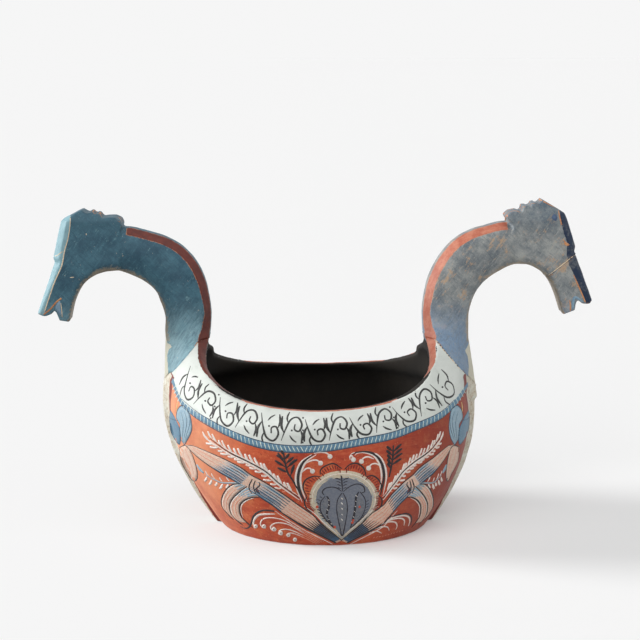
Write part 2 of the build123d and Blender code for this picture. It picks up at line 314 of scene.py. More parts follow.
def hollow_radius(z):
    """Radius of the bowl's inside at a height."""
    heights = np.array((98.5, 105.8, 113.0, 134.6, 141.6)) * MM
    radii = np.array((114.0, 108.0, 100.3, 98.3, 89.8)) * MM
    closing = np.interp(z, heights, radii)
    return np.where(z < BELLY_HEIGHT, side_radius(z) - 6 * MM, closing)


def lean_at(z):
    """Sideways shift of the bowl's centre at a height."""
    return RIM_CENTRE_X * np.minimum(np.maximum(z, 0.0) / RIM_HEIGHT, 1.0) ** 1.6


# Outlines of the red strip that runs down from a neck onto the rim, in the photograph
LEFT_STRIP = (
    (199.0, 334.0), (197.9, 342.9), (197.5, 349.8), (198.2, 358.2), (200.2, 365.1), (203.6, 371.2),
    (209.0, 377.3), (215.9, 384.2), (223.5, 389.6), (234.2, 395.3), (240.0, 396.0), (228.0, 386.0),
    (216.0, 374.0), (212.0, 364.0), (212.0, 334.0),
)
RIGHT_STRIP = (
    (418.0, 333.0), (424.0, 350.0), (426.5, 361.2), (424.3, 367.3), (420.5, 373.5), (415.1, 379.6),
    (408.2, 384.9), (402.1, 389.1), (405.4, 391.4), (411.5, 387.6), (419.1, 381.9), (425.2, 376.5),
    (429.8, 371.2), (432.9, 366.6), (435.2, 361.2), (436.0, 355.1), (435.6, 349.0), (434.4, 342.8),
    (434.8, 333.0),
)
# The facets down the front of each nose
LEFT_NOSE = (
    (70.6, 214.0), (69.8, 227.4), (67.7, 239.8), (64.8, 249.8), (64.0, 253.9), (61.5, 266.3),
    (54.9, 281.3), (49.9, 295.4), (44.5, 311.9), (43.8, 318.0), (28.0, 318.0), (48.0, 214.0),
)
RIGHT_NOSE = (
    (558.9, 205.0), (560.5, 218.2), (563.8, 233.1), (567.6, 243.1), (566.3, 251.4), (568.8, 264.6),
    (574.6, 276.2), (579.6, 287.8), (586.2, 303.6), (588.0, 312.0), (602.0, 312.0), (580.0, 205.0),
)

# The worn undersides of the necks, and the pale paint at the outside of their feet
LEFT_ARCH = (
    (71.9, 321.9), (73.1, 310.3), (76.4, 299.5), (81.4, 289.6), (88.0, 280.4), (96.3, 273.8),
    (104.6, 270.9), (112.9, 270.5), (121.2, 271.7), (130.0, 274.2), (140.0, 279.0), (152.0, 289.0),
    (160.0, 301.0), (164.0, 314.0), (165.5, 326.0), (166.0, 340.0),
)
RIGHT_ARCH = (
    (561.0, 313.5), (554.7, 292.0), (549.8, 282.0), (541.5, 273.3), (533.2, 267.1), (520.7, 264.6),
    (510.8, 265.5), (500.0, 270.8), (488.0, 281.0), (478.0, 293.0), (471.0, 308.0), (469.0, 322.0),
    (469.0, 340.0),
)
LEFT_THROAT = (
    (150.0, 330.0), (165.4, 330.0), (166.4, 340.0), (168.0, 344.0), (173.4, 346.0), (168.6, 349.6),
    (167.2, 356.0), (168.4, 374.0), (168.4, 382.0), (150.0, 382.0),
)
RIGHT_THROAT = (
    (490.0, 340.0), (470.0, 340.0), (467.6, 346.0), (465.0, 350.6), (467.8, 357.0), (468.6, 366.0),
    (468.0, 384.0), (490.0, 384.0),
)
ARCH_WIDTH = 6.5


def photo_pixels(places):
    """Where the photograph shows places in space, as pixel columns and rows."""
    right, up, forward = (np.array(axis) for axis in camera_axes())
    away = places - (np.array(TARGET) - forward * CAMERA_DISTANCE)
    focal = CAMERA_DISTANCE / PIXEL / (away @ forward)
    return 0.5 * PHOTO_SIZE + (away @ right) * focal, 0.5 * PHOTO_SIZE - (away @ up) * focal


def within(x, y, outline):
    """Which of many pixels lie inside a closed outline."""
    found = np.zeros(len(x), bool)
    for (x1, y1), (x2, y2) in zip(outline, outline[1:] + outline[:1]):
        if y1 != y2:
            crosses = (y < y1) != (y < y2)
            found ^= crosses & (x < x1 + (y - y1) * (x2 - x1) / (y2 - y1))
    return found


def strips_on_rim(places, normals):
    """The red strips where they leave the necks, in front and turned half round."""
    turned = np.where(places[:, 1:2] > 0, -1.0, 1.0) * np.array((1.0, 1.0, 0.0)) + np.array((0, 0, 1.0))
    x, y = photo_pixels(places * turned)
    facing = (normals * turned) @ np.array(camera_axes()[2]) < 0
    return (within(x, y, LEFT_STRIP) | within(x, y, RIGHT_STRIP)) & facing


def nearness(x, y, line, width):
    """1 on a line of pixels, falling to 0 at a width from it."""
    least = np.full(len(x), width)
    for (x1, y1), (x2, y2) in zip(line, line[1:]):
        length = math.hypot(x2 - x1, y2 - y1)
        along = np.clip(((x - x1) * (x2 - x1) + (y - y1) * (y2 - y1)) / length**2, 0.0, 1.0)
        gap = np.hypot(x - x1 - along * (x2 - x1), y - y1 - along * (y2 - y1))
        least = np.minimum(least, gap)
    return 1.0 - least / width


def head_zones(places):
    """Nose facets, worn undersides and pale feet, the same on either side of a head."""
    near = places.copy()
    near[:, 1] = -np.abs(near[:, 1])
    x, y = photo_pixels(near)
    arches = nearness(x, y, LEFT_ARCH, ARCH_WIDTH) + nearness(x, y, RIGHT_ARCH, ARCH_WIDTH)
    return {
        "nose": within(x, y, LEFT_NOSE) | within(x, y, RIGHT_NOSE),
        "throat": within(x, y, LEFT_THROAT) | within(x, y, RIGHT_THROAT),
        "rubbed": arches,
    }


def zone_weights(mesh):
    """Which painted zone each vertex lies in: bevel strips, inside, neck backs, noses."""
    places = coordinates(mesh)
    normals = normals_of(mesh)
    x, y, z = places.T
    side = np.where(x > RIM_CENTRE_X, 1.0, -1.0)
    outward = side * (x - RIM_CENTRE_X) - NECK_BACK
    facing_out = side * normals[:, 0]
    radius = np.hypot(x - lean_at(z), y)

    inside = (radius < hollow_radius(z) + 1.2 * MM) & (z < HOLLOW_TOP) & (z > 8 * MM)
    outgoing = ((x - lean_at(z)) * normals[:, 0] + y * normals[:, 1]) / np.maximum(radius, MM)
    inside &= (outgoing < 0.25) | (radius < 75 * MM)
    inside &= (outgoing < -0.3) | (z < RIM_HEIGHT - 8 * MM)
    inside |= (outgoing < -0.1) & (z > RIM_HEIGHT - 10 * MM) & (z < 150 * MM) & (outward < 12 * MM)
    inside |= (radius < RIM_OUTER - 1.5 * MM) & (normals[:, 2] > 0.5) & (z > 105 * MM) & (outward < -8 * MM)
    inside |= (outgoing < -0.3) & (z > 20 * MM) & (z < RIM_HEIGHT)
    inside |= (radius < RIM_OUTER - 1.5 * MM) & (np.abs(y) < 32 * MM) & (z > 85 * MM) & (z < 134 * MM)
    rim_strip = strips_on_rim(places, normals) & (z > 100 * MM) & (z < 160 * MM)
    rim_strip &= np.abs(y) > half_at(BACK_HALF, z) - 5 * MM
    inside &= ~rim_strip

    back_x = outward - 88 * MM
    back_z = z - RIM_HEIGHT - 60 * MM
    length = np.hypot(back_x, back_z)
    facing_back = (facing_out * back_x + normals[:, 2] * back_z) / np.maximum(length, MM)
    on_neck = (z > RIM_HEIGHT + 34 * MM) & (outward < 66 * MM) & (facing_back > 0.35) & ~inside
    bevel = on_neck & (np.abs(y) > half_at(BACK_HALF, z))
    bevel &= np.abs(y) < half_at(BEVEL_HALF, z) - 1.6 * MM
    bevel &= np.abs(normals[:, 1]) < 0.8
    back = on_neck & (np.abs(y) <= half_at(BACK_HALF, z))
    return {
        "strip": bevel | rim_strip,
        "inside": inside,
        "back": back,
        "right": x > 0,
        **head_zones(places),
    }


def paint_zones(obj):
    """Writes the zones of an object's surface as soft attributes."""
    mesh = obj.data
    ends = edges_of(mesh)
    for name, inside in zone_weights(mesh).items():
        add_attribute(mesh, name, relax(inside.astype(float), ends, 3))


# The border between the painted field and the pale band, from end to end of the front,
# as the photograph shows the middle of its rope, and the outer edge of the rim above it
ROPE_LINE = (
    (172, 380), (182, 403), (201, 418), (231, 434), (260, 444.5), (289, 449), (325, 448),
    (361, 442), (391, 436), (413, 428), (439, 416.5), (455, 403), (468, 384),
)
RIM_LINE = (
    (187, 352), (196, 362), (205.6, 377.5), (225, 392.5), (263, 405.5), (290, 410), (325, 412),
    (361, 409), (381, 404), (402, 395), (420, 383), (436, 367), (447, 356),
)

# Where a place on the left half of the front lies on the right half, by pixel column
LEFT_COLUMNS = (165, 188, 222, 252, 283, 298, 341.5, 400)
RIGHT_COLUMNS = (474, 451, 433, 412, 392, 384, 341.5, 283)


FRONT = Matrix.Identity(4)
REAR = Matrix.Rotation(math.pi, 4, "Z")
OTHER_SIDE = Matrix.Scale(-1.0, 4, (0.0, 1.0, 0.0))


class Canvas:
    """A carved surface to paint on, from the front, the rear or a head's other side."""

    def __init__(self, tree, turn=FRONT, mirrored=False):
        self.tree = tree
        self.turn = turn
        self.mirrored = mirrored

    def at(self, x, y):
        """The point of the surface that a pixel of the photograph shows, and its normal."""
        if self.mirrored:
            x = float(np.interp(x, LEFT_COLUMNS, RIGHT_COLUMNS))
        start, direction = photo_ray(x, y)
        start = self.turn @ start
        direction = self.turn.to_3x3() @ direction
        hit, normal, _, _ = self.tree.ray_cast(start, direction)
        if hit is None:
            return None, None
        return hit, normal

    def beside(self, place):
        """The point of the surface nearest to a place, and its normal."""
        hit, normal, _, _ = self.tree.find_nearest(place)
        return hit, normal


def surface_tree(*objects):
    """A search tree over the faces of one or more objects."""
    places, faces = [], []
    for obj in objects:
        first = len(places)
        places.extend(obj.matrix_world @ v.co for v in obj.data.vertices)
        faces.extend(tuple(first + v for v in p.vertices) for p in obj.data.polygons)
    return BVHTree.FromPolygons(places, faces)


def smooth_line(points, spacing=STROKE_SAMPLES):
    """Points along a soft curve through a stroke's marks, about evenly spaced."""
    marks = np.array(points, float)
    padded = np.vstack([2 * marks[0] - marks[1], marks, 2 * marks[-1] - marks[-2]])
    line = []
    for i in range(1, len(padded) - 2):
        p0, p1, p2, p3 = padded[i - 1 : i + 3]
        count = max(2, int(np.hypot(*(p2 - p1)) / spacing) + 1)
        for t in np.linspace(0, 1, count, endpoint=False):
            bend = (2 * p0 - 5 * p1 + 4 * p2 - p3) * t**2 + (3 * p1 - p0 - 3 * p2 + p3) * t**3
            line.append(0.5 * (2 * p1 + (p2 - p0) * t + bend))
    line.append(marks[-1])
    return np.array(line)


def spread(points, count, first=0.0, last=1.0):
    """Evenly spaced points along part of a curve."""
    line = smooth_line(points)
    steps = np.hypot(*np.diff(line, axis=0).T)
    share = np.concatenate([[0.0], np.cumsum(steps)]) / max(steps.sum(), 1e-9)
    wanted = np.linspace(first, last, count)
    return np.column_stack([np.interp(wanted, share, line[:, i]) for i in (0, 1)])


def between(upper, lower, rows, columns, along=(0.0, 1.0), across=(0.0, 1.0)):
    """Rows of pixels from one curve to another, over shares of their length and gap."""
    top = spread(upper, rows, *along)
    bottom = spread(lower, rows, *along)
    shares = np.linspace(across[0], across[1], columns)
    return [[t * (1 - v) + b * v for v in shares] for t, b in zip(top, bottom)]


class Paint:
    """Collects the strokes of one colour, to become one thin closed mesh."""

    def __init__(self, name, lift):
        self.name = name
        self.lift = lift
        self.vertices = []
        self.faces = []

    def ring(self, spots):
        """Adds a row of points and returns their numbers."""
        first = len(self.vertices)
        self.vertices.extend(tuple(spot) for spot in spots)
        return list(range(first, first + len(spots)))

    def skin(self, rows):
        """A closed thin sheet over rows of places with their normals."""
        last = len(rows) - 1
        columns = len(rows[0])
        for one, two in zip(rows, rows[1:]):
            if (one[0][0] - two[0][0]).length > MAX_STEP:
                return
        tops, unders = [], []
        for i, row in enumerate(rows):
            spots, below = [], []
            for k, (place, normal) in enumerate(row):
                edge = i in (0, last) or k in (0, columns - 1)
                spots.append(place + normal * (self.lift * (0.5 if edge else 1.0)))
                below.append(place - normal * PAINT_DEPTH)
            tops.append(self.ring(spots))
            unders.append(self.ring(below))
        for i in range(last):
            for k in range(columns - 1):
                a, b = tops[i], tops[i + 1]
                self.faces.append((a[k], b[k], b[k + 1], a[k + 1]))
                a, b = unders[i], unders[i + 1]
                self.faces.append((a[k + 1], b[k + 1], b[k], a[k]))
            for k, turn in ((0, 1), (columns - 1, -1)):
                quad = (tops[i + 1][k], tops[i][k], unders[i][k], unders[i + 1][k])
                self.faces.append(quad[::turn])
        for i, turn in ((0, 1), (last, -1)):
            for k in range(columns - 1):
                quad = (tops[i][k], tops[i][k + 1], unders[i][k + 1], unders[i][k])
                self.faces.append(quad[::turn])

    def sheet(self, canvas, rows):
        """A patch of paint over rows of pixels."""
        places = [[canvas.at(*spot) for spot in row] for row in rows]
        if all(place is not None for row in places for place, _ in row):
            self.skin(places)

    def stroke(self, canvas, points, width, start=0.35, end=0.35, columns=3):
        """A brush stroke, its width in pixels and its ends' shares of that width."""
        centre = []
        for x, y in smooth_line(points):
            place, normal = canvas.at(x, y)
            if place is None:
                continue
            if centre and (place - centre[-1][0]).length > MAX_STEP:
                break
            centre.append((place, normal))
        last = len(centre) - 1
        if last < 1:
            return
        rows = []
        for i, (place, normal) in enumerate(centre):
            step = centre[min(i + 1, last)][0] - centre[max(i - 1, 0)][0]
            across = normal.cross(step).normalized()
            t = i / last
            share = np.interp(t, (0.0, 0.3, 0.7, 1.0), (start, 1.0, 1.0, end))
            half = 0.5 * width * share * STROKE_PIXEL
            row = []
            for k in np.linspace(-1, 1, columns):
                row.append(canvas.beside(place + across * (half * k)))
            rows.append(row)
        self.skin(rows)

    def fill(self, canvas, outline, centre, rings=4):
        """A patch of paint inside an outline of pixels, in rings towards its centre."""
        outline = np.array(outline, float)
        centre = np.array(centre, float)
        levels = []
        for r in range(rings + 1):
            share = 1.0 - r / rings
            spots = [canvas.at(*(centre + (spot - centre) * share)) for spot in outline]
            if any(place is None for place, _ in spots):
                return
            levels.append(spots)
        count = len(outline)
        unders = self.ring([p - n * PAINT_DEPTH for p, n in levels[0]])
        tops = []
        for r, spots in enumerate(levels[:-1]):
            lift = self.lift * (0.5 if r == 0 else 1.0)
            tops.append(self.ring([p + n * lift for p, n in spots]))
        middle, normal = levels[-1][0]
        top = self.ring([middle + normal * self.lift])[0]
        bottom = self.ring([middle - normal * PAINT_DEPTH])[0]
        for k in range(count):
            j = (k + 1) % count
            for a, b in zip(tops, tops[1:]):
                self.faces.append((a[k], a[j], b[j], b[k]))
            self.faces.append((tops[-1][k], tops[-1][j], top))
            self.faces.append((tops[0][j], tops[0][k], unders[k], unders[j]))
            self.faces.append((unders[j], unders[k], bottom))

    def shape(self, canvas, marks, centre=None, rings=4):
        """A patch inside a soft closed curve through its marks."""
        line = smooth_line(list(marks) + [marks[0]])[:-1]
        self.fill(canvas, line, line.mean(0) if centre is None else centre, rings)

    def dot(self, canvas, x, y, radius):
        """A round dab of paint."""
        turns = np.linspace(0, 2 * math.pi, 10, endpoint=False)
        outline = [(x + radius * math.cos(a), y + radius * math.sin(a)) for a in turns]
        self.fill(canvas, outline, (x, y), 2)

    def finish(self, material):
        """Makes the mesh, lets it ride on the bowl and paints it."""
        obj = new_mesh(self.name, self.vertices, self.faces)
        mesh = obj.data
        work = bmesh.new()
        work.from_mesh(mesh)
        bmesh.ops.recalc_face_normals(work, faces=work.faces)
        work.to_mesh(mesh)
        work.free()
        mesh.materials.append(material)
        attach(obj, "root")


# Ornament

BAND_UPPER = (
    (187.7, 445.3), (193, 445.7), (210.6, 453), (227.4, 460.6), (241.2, 467.9), (251.2, 475.1),
    (264.2, 482), (283.3, 494.3), (299.4, 505.7), (313.2, 515.3), (321.6, 523.7), (341.9, 540.5),
)
BAND_LOWER = (
    (184.6, 444.5), (190, 449.9), (199.1, 458.3), (210.6, 466.7), (222.8, 474.4), (233.6, 480.5),
    (245, 488), (260.3, 497.7), (271.8, 505), (281.8, 512.6), (299.4, 524.1), (311, 530.7),
    (336, 543),
)
LEAF_OUTER = (
    (241, 484), (233.6, 484.3), (227.4, 488.1), (222.8, 495), (221.3, 501.9), (222.8, 508),
    (228.2, 514.5),
)
LEAF_MIDDLE = (
    (247.3, 486.2), (241.2, 490.4), (233.6, 497.3), (229.7, 504.2), (230.5, 511.9), (233.6, 517.2),
    (238.5, 521.8),
)
LEAF_INNER = (
    (260.3, 497.3), (252.7, 497.3), (245, 500), (240, 505), (239.7, 511.1), (241.6, 517.2),
    (247.3, 523),
)
KNOT = (
    ((252.3, 479), (249, 487), (251.9, 493.5)),
    ((255.4, 480.5), (253.5, 486.6), (255.7, 493.5)),
    ((258.8, 482), (260, 485), (255.7, 489.7), (260, 493.5)),
)
SCROLL_STEM = (
    (240.5, 526.4), (245, 528.3), (248.9, 527.2), (251.5, 522.6), (253, 517.2), (257.3, 512.6),
    (264.2, 510.3), (274, 511.1),
)
SCROLL_WHITE = (
    (256.5, 527.2), (253.6, 525.2), (254.2, 519.6), (258.6, 515.2), (265.5, 514.2), (275, 514),
)
CURLS = (
    ((304.7, 533.3), (286.5, 521.4), (273.2, 517.9), (264, 518.6), (260.5, 522.8), (262, 527),
     (265.4, 528), (264.6, 525.3)),
    ((304.7, 534), (289.3, 524.9), (278.1, 522.8), (271.8, 524.9), (270.7, 528.4), (273.6, 531),
     (276, 529.5), (274.4, 527.6)),
    ((303, 535.5), (292, 530.5), (284, 529.2), (279.5, 531), (279, 534), (281.5, 535), (282.3, 533)),
    ((306, 538.5), (297, 534.5), (290.5, 533), (287, 534.5), (288, 536.6), (290, 535.3)),
)
CURL_DOTS = ((255.7, 526.4), (264, 526.4), (273.8, 529), (280.9, 533), (288.4, 535), (295, 539.6))
ARC_STEM = ((386.4, 517.7), (398, 515), (406, 513.6), (410.4, 515.5), (411.8, 519.5), (410.5, 525))
ARCS = (
    ((379, 526), (390, 519), (402, 515.6), (408.5, 516.9), (409.8, 521), (408.4, 526)),
    ((380, 525.4), (390, 520.2), (400, 518.2), (404.3, 520.4), (404, 525.4)),
    ((375.7, 528.4), (386.4, 522.6), (394.6, 522), (397.1, 525.7), (395.6, 529.6)),
    ((371.3, 531), (380.2, 527), (387.4, 527), (389.1, 530.6)),
    ((369, 533.2), (376.5, 531), (381.5, 533.2)),
)
ARC_DASHES = ((374, 537.6), (386, 535.4), (402.5, 530.6))
FEATHER = (
    (203, 432.3), (209.8, 438.4), (229, 452.2), (248.9, 462.1), (266.5, 472.1), (279.5, 483.6),
    (299.4, 498.1),
)
TULIP_RIGHT = (
    (184.5, 445.2), (191, 432.7), (191.8, 423.9), (188.9, 412.1), (183, 405.5), (177.9, 409.2),
    (176.4, 418), (180, 425), (179.5, 436),
)
TULIP_LEFT = ((170.5, 410), (169.6, 418), (171.5, 432.7), (179.3, 444.4), (180.5, 432), (176, 420))
PINK_LEAF = (
    (179.3, 447.4), (181.5, 462), (189.6, 476.7), (194.7, 481.1), (197.7, 475.2), (194, 459.1),
    (186.7, 445.9),
)
FROND = ((206, 475.1), (214.4, 479.7), (222.8, 482.8), (239.7, 482.8))
TREE_LEFT = (
    (303.3, 499.6), (299.1, 491.9), (293.5, 481.4), (287.9, 473), (285.8, 466), (284.4, 459),
    (283.7, 452),
)
TREE_LEFT_LEAVES = (
    ((285, 463.9), (281.2, 457.8), (277.6, 452.6)), ((285.8, 467.4), (280.2, 463.9), (274.9, 460.4)),
    ((288.4, 473), (283, 470.4), (277.4, 467.6)), ((284.6, 459.6), (280.4, 456.8), (276.3, 455.2)),
    ((284.4, 460), (286.8, 456.6), (289.3, 453.7)), ((285.4, 464.4), (289.3, 460.4), (293.5, 457.2)),
    ((286.3, 468.6), (291.4, 463), (297.4, 459.4)), ((290.6, 476), (292.1, 470.6), (294.2, 464.6)),
    ((284, 456), (282.4, 452.6), (281.4, 450)),
)
TREE_RIGHT = ((389.1, 477), (391.3, 466.8), (392.7, 457.9), (393.4, 445.2))
TREE_RIGHT_LEAVES = (
    ((392.8, 452.6), (397, 447.6), (401.6, 444)), ((392.6, 457), (397.2, 451.6), (402.3, 448.6)),
    ((392.2, 461), (396.6, 456.4), (402.3, 453.2)), ((391.6, 465.4), (396.4, 461.4), (401.6, 458.6)),
    ((392.8, 451), (389.6, 449), (386.6, 446.4)), ((392.6, 455.6), (389.4, 453), (386.4, 450.4)),
    ((392.2, 460), (389.4, 457.6), (387.4, 454.4)), ((391.6, 464.4), (389, 461.6), (387.6, 458.4)),
    ((391, 468.4), (388.8, 465.6), (388, 462.4)),
)
MEDALLION_RING = (
    (310.4, 506.1), (309.3, 497.7), (311.5, 489), (317, 480.5), (325, 474.5), (334, 471.5),
    (344.4, 470.7), (354, 471.7), (363, 475), (371, 481.5), (376.5, 489), (378.4, 496), (377, 505),
    (372, 514), (365, 522), (357, 529.5), (349, 536), (342, 540.5), (333, 533.5), (325, 526),
    (318, 517.4),
)
MEDALLION_FIELD = (
    (314.6, 499), (316, 490.5), (321, 483.5), (328, 479), (335, 477), (342, 476.4), (350, 476.7),
    (358, 479), (366, 484), (371.5, 491), (373.5, 499), (372.5, 506), (368, 514), (361, 521.5),
    (353, 528.5), (347, 533.5), (342, 537.3), (336, 532), (328, 525), (321, 517), (316.5, 508),
)
POD_MIDDLE = (
    (342.6, 492), (346.1, 499.6), (347.4, 508), (346.3, 518), (342.4, 535.8), (339.8, 527),
    (337.3, 515), (336.7, 508), (337.7, 499.6),
)
POD_LEFT = (
    (325.8, 495.4), (320.9, 501.8), (320.6, 510), (325.8, 519.3), (334.2, 528), (330.7, 522.8),
    (326.2, 514), (328.6, 506.7), (328.6, 498.2),
)
POD_RIGHT = (
    (359.4, 490.7), (364.8, 498.6), (365.4, 506.1), (361.6, 516.7), (350.6, 527.6), (353.8, 519.4),
    (355.2, 509.6), (355.7, 499.1),
)
POD_LEFT_SHADE = ((326.4, 495.6), (328.8, 500), (328.6, 506.7), (326.6, 513.6), (330.6, 522.6), (334.2, 527.6))
POD_RIGHT_SHADE = ((359, 491.4), (356, 497), (355.6, 505), (354.4, 514), (352.6, 521), (350.8, 527))
POD_ARCHES = (
    ((342.6, 492), (336.5, 487.8), (330.7, 487), (325.2, 488.4), (322.3, 492), (324.6, 495.6)),
    ((342.6, 492.1), (349.6, 486.5), (357.4, 483.9), (363.4, 486.4), (364.6, 491.4), (360.6, 493)),
)
SCALLOPS = (
    ((320.2, 474.6), (320.6, 470), (325, 466.2), (333.5, 463.6), (341.9, 468.6)),
    ((344.7, 469.3), (349.6, 464.7), (356.7, 463.3), (363.7, 468.2), (366.1, 476)),
    ((320.2, 476.7), (313.2, 476.4), (305.4, 480.2), (303, 487.9), (306.8, 496.3)),
    ((366.5, 476.7), (372.8, 475.6), (379, 480.2), (381, 486.5), (377.7, 493.5)),
    ((307.2, 496.3), (304.6, 501.9), (306.5, 508.2), (311.8, 512.5)),
    ((378.4, 495), (382, 500), (380.5, 507), (375, 511.5)),
)
CRESCENTS = (
    ((313.9, 454.2), (304, 461.2), (299.1, 471.1), (298.1, 481.6), (300.5, 492.1), (304.7, 501.9)),
    ((352.5, 454.9), (356, 452.5), (367.2, 452.1), (376.3, 455.6), (381.9, 464), (384, 474.6),
     (383, 483.7), (380.5, 494.9)),
)
CRESCENT_CURLS = (
    ((313.9, 453.4), (320, 452.2), (326.5, 453), (330, 456.5)),
    ((304.7, 464), (311, 460.7), (317, 460.3), (320.5, 463.2)),
    ((302.3, 472), (306.2, 468.6), (310, 468.4), (312.5, 471.2)),
    ((350.2, 459.6), (349.8, 456.4), (352, 456), (353.4, 459.6)),
    ((374, 459), (368, 456.8), (363.4, 458.2), (361.4, 461.4)),
    ((380, 466), (376, 463.6), (371.4, 464.4), (368.6, 468.1)),
)
VINE_CELLS = 13


def feather_leaves(paint, canvas, stem, count, direction, gap, length, width, part=(0.05, 0.85)):
    """Small drop-shaped leaves beside a stem, all pointing one way, a gap away from it."""
    way = np.array(direction, float)
    for i, spot in enumerate(spread(stem, count, *part)):
        base = spot + way * gap
        tip = base + way * (length * (0.9 + 0.2 * math.sin(2.4 * i)))
        bend = 0.5 * (base + tip) + np.array((way[1], -way[0])) * 0.5
        paint.stroke(canvas, (tip, bend, base), width, 0.75, 0.2)


def band_line(u, v, count=14):
    """Pixels along the broad arm, from one share of its length to another."""
    return [row[0] for row in between(BAND_UPPER, BAND_LOWER, count, 1, u, (v, v))]


def paint_band(p, canvas):
    """The broad arm that sweeps from a tulip down to the foot, with its blue shadows."""
    p["cream"].sheet(canvas, between(BAND_UPPER, BAND_LOWER, 90, 8))
    rng = random.Random(SEED)
    for first, last, low in ((0.21, 0.385, 0.12), (0.43, 0.66, 0.12)):
        for v in np.linspace(low, 0.94, 9):
            early = first + 0.07 * (1 - v) * rng.random() - 0.02 * v
            late = last - (0.05 * (1 - v) + 0.02 * rng.random() if last > 0.5 else 0)
            name = "blue" if v > 0.55 else "light_blue"
            p[name].stroke(canvas, band_line((early, late), v), 2.2, 0.15, 0.7)
        for v in (0.16, 0.33, 0.5, 0.66, 0.82, 0.96):
            p["blue_line"].stroke(canvas, band_line((first + 0.05 * (1 - v), last - 0.01), v), 1.3, 0.1, 0.8)
    p["deep_blue"].sheet(canvas, between(BAND_UPPER, BAND_LOWER, 22, 6, (0.85, 0.99), (0.03, 0.97)))
    for v in (0.3, 0.62):
        p["pink_line"].stroke(canvas, band_line((0.03, 0.22), v), 1.0, 0.3, 0.5)
    for v in (0.15, 0.35, 0.55, 0.75, 0.9):
        p["pink_line"].stroke(canvas, band_line((0.64, 0.83), v), 1.1, 0.2, 0.3)
    for i in range(7):
        v = 0.06 + 0.145 * i
        p["black_line"].stroke(canvas, band_line((0.815 - 0.008 * i, 0.965), v), 1.6, 0.15, 0.3)
    p["black_line"].stroke(canvas, spread(BAND_UPPER, 40, 0.0, 1.0), 1.4, 0.4, 0.8)
    p["black_line"].stroke(canvas, spread(BAND_LOWER, 26, 0.0, 0.36), 1.3, 0.4, 0.8)
    p["black_line"].stroke(canvas, spread(BAND_LOWER, 26, 0.5, 0.62), 1.3, 0.4, 0.8)
    p["black_line"].stroke(canvas, spread(BAND_LOWER, 26, 0.62, 1.0), 2.6, 0.3, 0.7)
    outside = [(x - 1.6, y + 2.0) for x, y in spread(BAND_LOWER, 16, 0.62, 0.99)]
    p["white_line"].stroke(canvas, outside, 1.3, 0.3, 0.5)
    outside = [(x + 1.3, y - 1.8) for x, y in spread(BAND_UPPER, 12, 0.72, 0.97)]
    p["white_line"].stroke(canvas, outside, 1.2, 0.3, 0.5)
    for knot in KNOT:
        p["black_line"].stroke(canvas, knot, 1.5, 0.6, 0.6)
    p["red_line"].stroke(canvas, ((256.6, 487), (257.4, 490), (259.5, 492.5)), 1.6)


def paint_leaves(p, canvas):
    """The three curled leaves that hang from the arm's knot."""
    p["cream"].sheet(canvas, between(LEAF_OUTER, LEAF_MIDDLE, 22, 5))
    p["cream"].sheet(canvas, between(LEAF_MIDDLE, LEAF_INNER, 24, 5))
    for v in (0.15, 0.35, 0.55, 0.75):
        line = [row[0] for row in between(LEAF_MIDDLE, LEAF_INNER, 9, 1, (0.0, 0.42 - 0.2 * v), (v, v))]
        p["light_blue"].stroke(canvas, line, 2.6, 0.8, 0.1)
    for v in (0.3, 0.7):
        line = [row[0] for row in between(LEAF_OUTER, LEAF_MIDDLE, 7, 1, (0.0, 0.22), (v, v))]
        p["grey_line"].stroke(canvas, line, 2.4, 0.8, 0.1)
    for v in (0.3, 0.6):
        line = [row[0] for row in between(LEAF_MIDDLE, LEAF_INNER, 14, 1, (0.3, 0.95), (v, v))]
        p["pink_line"].stroke(canvas, line, 1.1, 0.4, 0.3)
        line = [row[0] for row in between(LEAF_OUTER, LEAF_MIDDLE, 14, 1, (0.2, 0.95), (v, v))]
        p["pink_line"].stroke(canvas, line, 1.0, 0.4, 0.3)
    for line, width in ((LEAF_OUTER, 1.4), (LEAF_MIDDLE, 1.5), (LEAF_INNER, 1.8)):
        p["black_line"].stroke(canvas, line, width, 0.6, 0.8)
        (x, y), (a, b) = line[-2:]
        p["black_line"].stroke(canvas, ((x, y), (a, b), (2 * a - x, 2 * b - y - 1)), 2.4, 0.3, 0.2)
        moved = [(x + 1.6, y + 0.6) for x, y in line[1:-1]]
        p["white_line"].stroke(canvas, moved, 1.1, 0.3, 0.4)


def paint_scroll(p, canvas):
    """The scroll under the left leaves, with its row of curls that end in dots."""
    p["white_line"].stroke(canvas, SCROLL_WHITE, 2.4, 0.6, 0.4)
    p["black_line"].stroke(canvas, SCROLL_STEM, 2.0, 0.4, 1.1)
    for curl in CURLS:
        p["white_line"].stroke(canvas, curl, 1.5, 0.2, 1.0)
    for x, y in CURL_DOTS:
        p["white_top"].dot(canvas, x, y, 2.1)
        p["dark_dot"].dot(canvas, x, y, 0.8)
    for v in np.linspace(0.0, 1.0, 5):
        line = [row[0] for row in between(
            ((280, 515), (300, 527), (326, 543)), ((292, 532), (305, 538), (318, 544.5)),
            10, 1, (0.0, 0.95), (v, v),
        )]
        p["pink_line"].stroke(canvas, line, 1.0, 0.2, 0.6)


def paint_arcs(p, canvas):
    """The nest of arcs under the right leaves."""
    p["black_line"].stroke(canvas, ARC_STEM, 1.8, 0.4, 0.7)
    for i, arc in enumerate(ARCS):
        p["white_line"].stroke(canvas, arc, 2.0 - 0.15 * i, 0.3, 0.5)
    for i, (x, y) in enumerate(spread(ARC_DASHES, 11)):
        p["pink_line"].stroke(canvas, ((x - 0.8, y + 0.4), (x + 0.8, y - 0.6)), 1.2, 0.7, 0.7)


